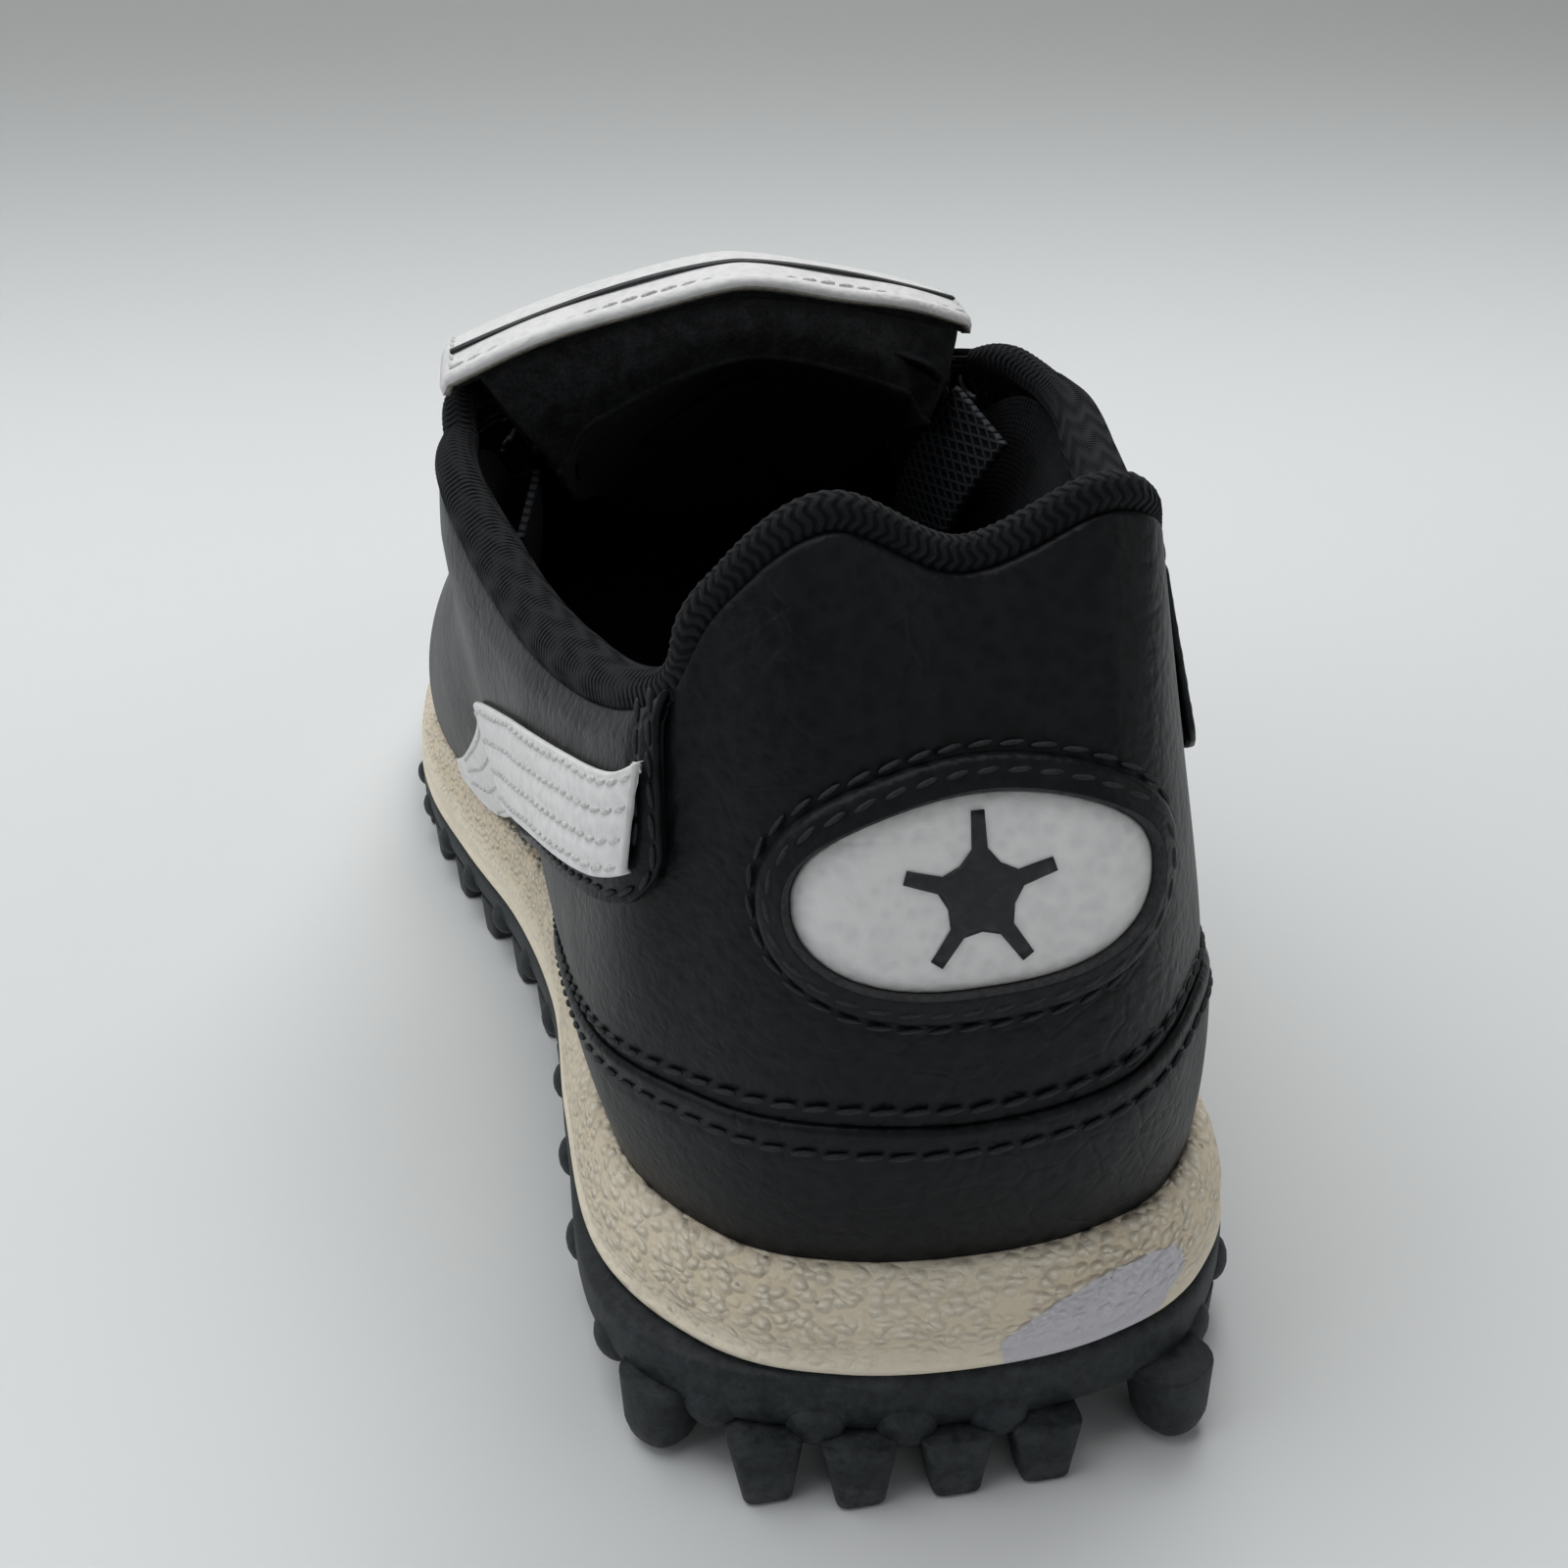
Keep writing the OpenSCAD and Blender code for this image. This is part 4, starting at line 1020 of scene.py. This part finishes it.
def ring(out, rise, from_feather=False, swell=0):
    """Points round the sole, out millimetres outside the feather's outline and rise above the
    joint's height or the feather's. swell moves them further out at the same height."""
    s = np.linspace(0, COUNT, RING + 1)[:-1]
    y = rim(s, np.full(RING, float(out)))[:, 1]
    z = np.interp(y, *zip(*(FEATHER if from_feather else JOINT))) + rise
    p = rim(s, out + swell * np.ones(RING))
    return place(np.stack([p[:, 0], p[:, 1], z], 1))


def closed_loft(name, rings, finish):
    """A body through rings round the sole, closed across by strips from side to side."""
    grid = np.stack(rings, 1)
    m, n = grid.shape[:2]
    verts = grid.reshape(-1, 3)
    faces = []
    for i in range(m):
        a = (i + 1) % m
        for j in range(n - 1):
            faces.append((i * n + j, i * n + j + 1, a * n + j + 1, a * n + j))
    for j in (0, n - 1):
        for i in range(m // 2):
            q = (i * n + j, (i + 1) * n + j, ((m - i - 1) % m) * n + j, ((m - i) % m) * n + j)
            q = list(dict.fromkeys(q))
            if len(q) > 2:
                faces.append(q)
    u = lengths(grid, 0)
    v = lengths(grid, 1)
    uvs = np.stack(np.broadcast_arrays(u[:, None], v[None, :]), -1).reshape(-1, 2)
    return face_out(mesh_piece(name, verts, faces, finish, uvs))


def midsole():
    """Foam wall with a bead at its lower edge, slightly hollow, and a rounded lip."""
    foot = [(4.2, 0.0), (4.9, 0.15), (5.15, 0.6), (5.1, 1.1), (4.75, 1.45), (4.7, 2.2),
            (4.85, 3.4), (4.8, 4.8)]
    rings = [ring(2.0, -0.1), *(ring(o, h) for o, h in foot)]
    for share in (0.35, 0.6, 0.8):
        low, high = ring(4.8, 4.8), ring(3.2, 0.0, True)
        bulge = ring(4.8 + 0.35, 4.8) - low
        rings.append(low * (1 - share) + high * share + bulge * math.sin(math.pi * share) * 0.5)
    rings += [ring(3.2, -0.1, True), ring(2.95, 0.5, True), ring(2.4, 0.95, True),
              ring(1.6, 1.15, True), ring(0.9, 1.0, True), ring(0.55, 0.4, True),
              ring(0.55, -1.4, True)]
    body = closed_loft("midsole_foam", rings, FOAM_SKIN)
    settle(body, "shoe", "cream_foam", "midsole")


PLATE = 4.0
RIM_STUDS = [-2.4] + [s for i in range(16) for s in (3.1 + 0.6 * i, 0.1 - (3.1 + 0.6 * i))]
STUD_TIP = [[0, 0], [238, 0], [262, 3], [290, 9]]
STUD_PITCH, RIM_MARGIN = 17, 15  # under the foot


def stud(centre, out, wide, deep, tip, top, taper, lean, square=5.0, domed=False):
    """A tapered stud from the height of its tip to its top, wide and deep measured from its
    middle. taper is the tip's share of its size, lean how far the tip stands out, and square
    how sharp its corners are."""
    side = np.array([-out[1], out[0]])
    levels = [(0.0, 1.0), (0.5, 1.0), (1.0, 1.0)]
    if domed:
        levels = [(0.0, 0.45), (0.05, 0.72), (0.14, 0.9), (0.3, 1.0), (0.6, 1.0), (1.0, 1.0)]
    a = np.linspace(0, 2 * np.pi, 25)[:-1] + math.pi / 24
    c, s = np.cos(a), np.sin(a)
    round_x, round_y = (np.sign(k) * np.abs(k) ** (2 / square) for k in (c, s))
    verts, faces, n = [], [], len(a)
    for level, grow in levels:
        size = (taper + (1 - taper) * level) * grow
        for k in range(n):
            x = centre[:2] + out * (round_x[k] * deep * size + lean * (1 - level)) \
                + side * round_y[k] * wide * size
            verts.append((x[0], x[1], tip + (top - tip) * level))
    for r in range(len(levels) - 1):
        for k in range(n):
            b = (k + 1) % n
            faces.append((r * n + k, r * n + b, (r + 1) * n + b, (r + 1) * n + k))
    return verts, faces + [list(range(n)), [len(verts) - n + k for k in range(n)]]


def nub(centre, out, z):
    """A short rounded lug that hangs at the rim between two studs."""
    side = np.array([-out[1], out[0]])
    wide, deep, tall = 3.1, 2.1, 2.3
    verts, faces, n, m = [], [], 18, 10
    for i in range(m + 1):
        polar = math.pi * i / m
        for k in range(n):
            a = 2 * math.pi * k / n
            soft = abs(math.sin(polar)) ** 0.75
            x = centre[:2] + side * math.cos(a) * wide * soft + out * math.sin(a) * deep * soft
            verts.append((x[0], x[1], z - tall * math.cos(polar)))
    for i in range(m):
        for k in range(n):
            b = (k + 1) % n
            faces.append((i * n + k, i * n + b, (i + 1) * n + b, (i + 1) * n + k))
    return verts, faces


def plate_depth(y):
    """How far the plate's underside lies below the midsole joint: deep under the heel."""
    gap = np.interp(y, *zip(*JOINT)) - np.interp(y, *zip(*STUD_TIP)) - 9.4
    return PLATE + 0.8 * np.clip(gap, 0, None)


def outward(s):
    """The way out from the shoe at a station, seen from above."""
    o = rim(s, 1.0) - rim(s, 0.0)
    return (o / np.linalg.norm(o))[:2]


# the heel's studs by the place of their tips, the two round corner studs first
HEEL_CORNERS = [(-29.6, 12.6), (21.6, 4.0)]
HEEL_STUDS = [(-20.4, 3.5), (-11.6, 1.2), (-2.1, 0.9), (6.9, 1.0)]


def corner_swell(s):
    """How far the plate's outline swells at the heel's corners, in millimetres."""
    return 2.6 * np.exp(-((s - 2.45) / 0.8) ** 2) + 0.6 * np.exp(-((s - COUNT + 1.6) / 0.6) ** 2)


def outsole():
    """The rubber plate with its deep rim, studs round the rim and under the foot, and short
    rounded lugs at the rim between the studs."""
    stations = np.linspace(0, COUNT, RING + 1)[:-1]
    swell = corner_swell(stations)
    deep = plate_depth(rim(stations, 5.0)[:, 1])
    rings = [ring(o, h * deep + k, swell=swell * m) for o, h, k, m in (
        (0.5, -1, 0, 0), (2.7, -1, 0, 1), (3.9, -0.97, 0, 1), (4.7, -0.88, 0, 1),
        (5.05, -0.76, 0, 1), (5.2, -0.6, 0, 1), (5.2, 0, -1.2, 1), (5.0, 0, -0.6, 1),
        (4.6, 0, -0.3, 1), (4.0, 0, -0.2, 1))]
    plate = closed_loft("outsole_plate", rings, RUBBER)
    verts, faces = [], []

    def put(made):
        """Add a stud or a lug to the mesh."""
        k = len(verts)
        verts.extend(place(np.array(made[0], float)))
        faces.extend([[k + i for i in f] for f in made[1]])

    def root(y):
        """Where a stud meets the plate, a little inside it."""
        return float(np.interp(y, *zip(*JOINT)) - plate_depth(y)) + 0.5

    def station_of(x, y):
        """The station of the rim nearest a place."""
        s = np.linspace(-4, 4, 800)
        return float(s[((rim(s, 3.0)[:, :2] - [x, y]) ** 2).sum(1).argmin()])

    stops = []
    for x, y in HEEL_CORNERS:
        stops.append(station_of(x, y))
        out = outward(stops[-1])
        put(stud(np.array([x, y]) - out * 0.8, out, wide=4.4, deep=4.2, tip=0.0,
                 top=root(y) + 1.5, taper=0.78, lean=0.8, square=2.5, domed=True))
    for x, y in HEEL_STUDS:
        stops.append(station_of(x, y))
        put(stud(np.array([x, y]) + [0, 0.8], np.array([0, -1.0]), wide=3.7, deep=3.4, tip=0.0,
                 top=root(y), taper=0.66, lean=0.8))
    for s in RIM_STUDS:
        o, p = outward(s), rim(s, 1.9)
        stops.append(s)
        put(stud(p, o, wide=3.7, deep=3.3, tip=float(table(p[1], STUD_TIP)), top=root(p[1]),
                 taper=0.66, lean=0.8))
    outline = rim(np.linspace(0, COUNT, 400), 5.0)
    for row in range(1, 16):
        y = row * STUD_PITCH + 6
        lateral, medial = outline[:200], outline[200:]
        low = lateral[np.abs(lateral[:, 1] - y).argmin()][0] + RIM_MARGIN
        high = medial[np.abs(medial[:, 1] - y).argmin()][0] - RIM_MARGIN
        cols = int(max(high - low, 0) // STUD_PITCH)
        for c in range(cols + 1 if high > low else 0):
            x = (low + high) / 2 + (c - cols / 2) * STUD_PITCH
            put(stud(np.array([x, y]), np.array([0, 1.0]), wide=3.9, deep=3.9,
                     tip=float(table(y, STUD_TIP)), top=root(y), taper=0.66, lean=0))
    stops = sorted(stops)
    for a, b in zip(stops, stops[1:]):
        s = (a + b) / 2
        if b - a < 1.1:
            p = rim(s, 4.2 + 0.8 * float(corner_swell(np.array(s % COUNT))))
            put(nub(p, outward(s), root(p[1]) + 0.1 * float(plate_depth(p[1]))))
    studs = face_out(mesh_piece("outsole_studs", verts, faces, RUBBER))
    bevel = studs.modifiers.new("Soft edges", "BEVEL")
    bevel.width, bevel.segments, bevel.limit_method = 0.3 * MM, 2, "ANGLE"
    bevel.angle_limit = math.radians(38)
    plain(studs)
    studs.data.polygons.foreach_set("use_smooth", [True] * len(studs.data.polygons))
    bpy.ops.object.select_all(action="DESELECT")
    for o in (studs, plate):
        o.select_set(True)
    bpy.context.view_layer.objects.active = plate
    bpy.ops.object.join()
    plate.name = "outsole_rubber"
    settle(plate, "shoe", "black_rubber", "outsole")


def footbed():
    """The loose sockliner: foam below, cloth on top with a rolled edge."""
    foam = closed_loft("sockliner_foam_bed", [ring(-7.5, 1.0, True), ring(-7.2, 1.5, True),
                                              ring(-7.3, 4.0, True), ring(-7.6, 4.55, True)],
                       GREY_FOAM)
    settle(foam, "sockliner", "grey_foam", "sockliner_foam")
    cloth = closed_loft("sockliner_cloth_top", [ring(-7.7, 4.75, True), ring(-7.6, 5.2, True),
                                                ring(-7.9, 5.55, True), ring(-8.6, 5.65, True)],
                        LINING)
    settle(cloth, "sockliner", "lining_fabric", "sockliner_cloth")


# ---- Tongue and flap ----
TONGUE_ROWS = [10.9, 10.4, 9.9, 9.4, 8.9, 8.4, 7.9, 7.5]
TONGUE_DEPTH = [[7.4, -6.5], [8.4, -5.2], [9.4, -5], [10, -4.4], [10.5, -5.8], [11, -5.8]]
TONGUE_ARCH = [[7.4, 12], [8, 10.5], [9, 7.5], [10, 2.6], [10.5, 0], [11, -0.4]]
TONGUE_END = [[-33, 112, 80.5], [-26, 110.5, 89], [-3, 108.5, 97.5], [20.5, 110, 91.5],
              [27, 113.5, 85]]


def through(knots, x):
    """Catmull-Rom through knots along the first axis, at x in [0, 1]."""
    knots = np.asarray(knots, float)
    n = len(knots) - 1
    x = np.clip(np.asarray(x, float), 0, 1) * n
    i = np.minimum(np.floor(x).astype(int), n - 1)
    f = (x - i).reshape((-1,) + (1,) * (knots.ndim - 1))
    a, b = knots[np.maximum(i - 1, 0)], knots[i]
    c, d = knots[i + 1], knots[np.minimum(i + 2, n)]
    return 0.5 * (2 * b + (c - a) * f + (2 * a - 5 * b + 4 * c - d) * f ** 2
                  + (3 * b - a - 3 * c + d) * f ** 3)


def tongue_surface(rows=70, cols=64):
    knots = []
    for s in TONGUE_ROWS:
        d = float(table(s, TONGUE_DEPTH))
        lat, med = last(s, 1.0, d), last(-s, 1.0, d)
        mid = (lat + med) / 2 + [0, 0, float(table(s, TONGUE_ARCH))]
        knots.append([last(s, 0.84, d), lat, mid, med, last(-s, 0.84, d)])
    knots.append(TONGUE_END)
    lined = through(np.array(knots), np.linspace(0, 1, rows))
    grid = through(np.swapaxes(lined, 0, 1), np.linspace(1, 0, cols))
    return np.swapaxes(grid, 0, 1)


def moved(grid, d):
    """A grid of table millimetres moved by d along its own normals."""
    du, dv = np.gradient(grid, axis=0), np.gradient(grid, axis=1)
    return grid + unit(np.cross(dv, du)) * (np.asarray(d, float)[..., None] if np.ndim(d) else d)


def edge_roll(shape, wide, tall, edge, sides=(1, 1, 1, 1)):
    """How far a sheet's face drops towards its edges."""
    u = np.linspace(0, 1, shape[0])[:, None] * np.ones(shape[1])[None]
    v = np.linspace(0, 1, shape[1])[None, :] * np.ones(shape[0])[:, None]
    drop = np.zeros(shape[:2])
    for on, away in zip(sides, (u * wide, (1 - u) * wide, v * tall, (1 - v) * tall)):
        if on:
            x = np.clip(1 - away / edge, 0, 1)
            drop += edge * (1 - np.sqrt(1 - x * x))
    return drop


def tongue():
    """Tongue: leather outside, felt inside, foam between, a blank label, and the felt that
    runs up to the flap."""
    grid = tongue_surface()
    outer = place(moved(grid, -edge_roll(grid.shape, 90, 80, 1.0)))
    piece = thicken(grid_piece("tongue_leather", outer, BLACK_LEATHER), 0.95 * MM)
    settle(piece, "tongue", "black_leather", "tongue_outer")
    inner_d = -1 - 0.5 - 3.6 - 0.7
    inner = place(moved(grid, inner_d)[4:])
    cloth = grid_piece("tongue_felt_lining", inner[:, ::-1], BLACK_FELT)
    settle(thicken(cloth, 0.7 * MM), "tongue", "black_felt", "tongue_lining")
    label = place(moved(grid, inner_d - 1.0))
    m, n = label.shape[:2]
    label = label[int(m * 0.52):int(m * 0.74), int(n * 0.3):int(n * 0.7)]
    tag = grid_piece("tongue_blank_label", label[:, ::-1], LABEL)
    settle(thicken(tag, 0.3 * MM), "tongue", "lining_fabric", "tongue_label")
    core = place(moved(grid, -1.5)[6:-4, 7:-7])
    foam = thicken(grid_piece("tongue_foam_core", core, GREY_FOAM), 2.9 * MM)
    settle(foam, "tongue", "grey_foam", "tongue_padding")
    # the felt runs up from the lining to the flap's sewn edge and over the tongue's end
    inside, end = moved(grid, inner_d)[-1], grid[-1]
    across = np.linspace(0.93, -0.86, len(end))
    seam = flap_points(np.zeros(len(end)), across) + np.array([0, 0.8, -1.4])
    knots = [inside + [0, 0.4, 0.3], inside * 0.5 + seam * 0.5 + [0, -1.4, 0], seam,
             seam + [0, 2.6, -0.6], end + [0, 2.6, 0.4]]
    wrap = through(np.array(knots), np.linspace(0, 1, 26))
    edge_piece = face_out(grid_piece("tongue_felt_edge", place(wrap), BLACK_FELT))
    settle(thicken(edge_piece, 0.5 * MM), "tongue", "black_felt")


FLAP_RISE = [[0, 100.4], [0.12, 102.3], [0.28, 102.9], [0.5, 100.4], [0.75, 94.5], [1, 86.8]]
FLAP_WIDTH = [[0, 1], [0.5, 0.97], [0.75, 0.9], [0.9, 0.76], [1, 0.5]]
FLAP_LENGTH = 60.0


def flap_points(u, v):
    """u from the sewn edge to the free end, v from -1 lateral to 1 medial."""
    u, v = np.broadcast_arrays(np.asarray(u, float), np.asarray(v, float))
    w = table(u, SMOOTH_WIDTH)
    half = np.where(v < 0, 41.0, 34.0)
    drop = np.where(v < 0, 11.6, 7.5)
    back = np.where(v < 0, 3.0, 9.0)
    return np.stack([-3 + v * half * w,
                     108 + FLAP_LENGTH * u + back * np.abs(v) ** 2 * (1 - u),
                     table(u, SMOOTH_RISE) - drop * (np.abs(v) * w) ** 1.5], -1)


SMOOTH_RISE, SMOOTH_WIDTH = smoothed(FLAP_RISE, 0.02), smoothed(FLAP_WIDTH, 0.02)


def flap():
    """The fold-over flap: white leather above, black felt below, and its stitching."""
    u = np.linspace(0, 1, 66)[:, None]
    v = np.linspace(-1, 1, 80)[None, :]
    grid = flap_points(u, v)
    ripple = 0.25 * np.sin(v * 9 + 1.3) * (1 - u) ** 3
    face = moved(grid, 1.4 - edge_roll(grid.shape, 60, 75, 1.0) + ripple)
    top = grid_piece("flap_white_leather", place(face), WHITE_LEATHER)
    top.data.materials.append(CUT_EDGE)
    mod = thicken(top, 1.35 * MM).modifiers[-1]
    mod.material_offset_rim = 1
    settle(top, "flap", "white_leather", "flap_outer")
    below = moved(flap_points(0.02 + 0.95 * u, v * 0.97), -0.2)
    under = grid_piece("flap_felt", place(below), BLACK_FELT)
    settle(thicken(under, 1.0 * MM), "flap", "black_felt", "flap_lining")
    trim_u = np.linspace(0.118, 0.140, 3)[:, None]
    line = moved(flap_points(trim_u, v * 0.95), 1.75)
    strip = grid_piece("flap_trim_line", place(line), BLACK_PRINT)
    settle(thicken(strip, 0.3 * MM), "flap", "black_print", "flap_trim")

    def row(us, vs, d=1.45):
        """A stitch path over the flap and the way out along it."""
        pts = flap_points(np.asarray(us, float), np.asarray(vs, float))
        near_u = flap_points(np.asarray(us, float) + 0.02, vs)
        near_v = flap_points(us, np.asarray(vs, float) + 0.02)
        out = unit(np.cross(near_v - pts, near_u - pts))
        out *= np.sign(out[:, 2:])
        return place(pts + out * d), out

    k = np.linspace(-0.93, 0.93, 200)
    around = np.linspace(0.06, 0.95, 120)
    stitches("flap_stitches", [row(np.full(200, 0.045), k), row(around, np.full(120, -0.95)),
                               row(around, np.full(120, 0.95)),
                               row(np.full(200, 0.955), k * 0.98)],
             WHITE_THREAD, "flap", 2.7, 2.4, 0.65)


def elastics():
    """Woven straps beside the tongue."""
    for side, path, across in (
            ("medial", [[30, 108.5, 82.5], [25.5, 119, 69], [26, 128, 57], [28.6, 136, 47]],
             [0.3, -0.83, -0.47]),
            ("lateral", [[-33.5, 108, 74], [-33.5, 119, 62], [-34.5, 127, 54], [-36, 134, 47]],
             [-0.25, -0.83, -0.5])):
        line = through(path, np.linspace(0, 1, 50))
        v = np.linspace(-0.5, 0.5, 18)
        grid = line[:, None] + np.array(across)[None, None] * 14 * v[None, :, None]
        grid = moved(grid, 0.5 - edge_roll(grid.shape, 45, 14, 0.4, (0, 0, 1, 1)))
        strap = grid_piece("elastic_strap_" + side, place(grid), ELASTIC)
        settle(thicken(strap, 1.0 * MM), "shoe", "woven_elastic", "elastic_" + side)


heel_patch_set(heel_leather())
for medial_side in (False, True):
    side_leather(medial_side)
toe_leather()
collar()
lining()
midsole()
outsole()
footbed()
tongue()
flap()
elastics()

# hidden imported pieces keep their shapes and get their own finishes
for node, finish in (("strobel_board", STIFF_BOARD), ("heel_counter", STIFF_BOARD),
                     ("toe_puff", STIFF_BOARD), ("vamp_lining", LINING)):
    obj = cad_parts[node]
    obj.data.materials.clear()
    obj.data.materials.append(finish)


# ---- Stage ----
EYE, LOOK_AT = (-0.0370, -0.2647, 0.1288), (-0.0048, -0.0814, 0.0486)
LENS, SENSOR, ROLL = 38.62, 36.0, -0.017  # millimetres and radians


def stage():
    """A pale seamless floor that curves up behind, with painted shade that darkens it as it rises,
    soft lights, and the camera.
    """
    flat = [(y, 0.0) for y in np.linspace(-2.4, 0.15, 12)]
    curve = [(0.15 + 0.62 * k, 0.95 * k ** 2.8) for k in np.linspace(0.02, 1, 60)]
    floor_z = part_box("outsole")[0].z - 0.0002
    grid = np.array([[[x, y, z + floor_z] for y, z in flat + curve + [(0.79, 1.3), (0.8, 3.0)]]
                     for x in np.linspace(-3.2, 3.2, 8)])
    f = Finish("studio_paper")
    tone = f.noise(3.0, 2.0)
    height = f.split()[2]
    # painted shade: the paper darkens from the floor up the curve to stand in for light falling
    # off, not the paper's own colour
    painted_falloff_shade = f.smooth(height, 0.0, 0.16)
    paper = f.set(Base_Color=f.blend(f.blend((0.74, 0.76, 0.765, 1), (0.78, 0.80, 0.80, 1), tone),
                                     (0.36, 0.37, 0.365, 1), painted_falloff_shade),
                  Roughness=0.85 + tone * 0.1, Normal=f.bump(f.noise(60.0, 3.0), 0.0003, 0.2))
    floor = grid_piece("studio_floor", grid, paper)
    if floor.data.polygons[0].normal.z < 0:
        floor.data.flip_normals()

    world = bpy.data.worlds.new("soft_room")
    world.use_nodes = True
    background = world.node_tree.nodes["Background"]
    background.inputs["Color"].default_value = (0.93, 0.96, 1.0, 1)
    background.inputs["Strength"].default_value = 0.13
    bpy.context.scene.world = world

    middle = Vector(MIDDLE) + Vector((0, 0, 0.05))
    for name, spot, size, watts, colour in (
            ("overhead_window", (-0.25, 0.25, 1.25), 1.3, 11.5, (1.0, 1.0, 1.0)),
            ("left_window", (-1.1, -0.25, 0.75), 0.9, 3.0, (0.96, 0.98, 1.0)),
            ("back_fill", (0.35, 0.5, 1.0), 0.5, 3.0, (1.0, 1.0, 1.0)),
            ("right_fill", (1.0, -0.6, 0.5), 0.8, 1.2, (1.0, 0.98, 0.96)),
            ("front_fill", (0.1, -1.2, 0.6), 0.9, 0.8, (1.0, 1.0, 1.0))):
        light = bpy.data.lights.new(name, "AREA")
        light.size, light.energy, light.color = size, watts, colour
        lamp = bpy.data.objects.new(name, light)
        lamp.location = spot
        lamp.rotation_euler = (middle - Vector(spot)).to_track_quat("-Z", "Y").to_euler()
        bpy.context.scene.collection.objects.link(lamp)

    camera = bpy.data.cameras.new("camera")
    camera.sensor_width, camera.lens = SENSOR, LENS
    camera.clip_start, camera.clip_end = 0.01, 20
    eye = bpy.data.objects.new("camera", camera)
    eye.location = EYE
    turn = (Vector(LOOK_AT) - Vector(EYE)).to_track_quat("-Z", "Y")
    eye.rotation_mode = "QUATERNION"
    eye.rotation_quaternion = turn @ Quaternion((0, 0, 1), ROLL)
    bpy.context.scene.collection.objects.link(eye)
    bpy.context.scene.camera = eye


stage()
bpy.context.scene.view_settings.view_transform = "Standard"
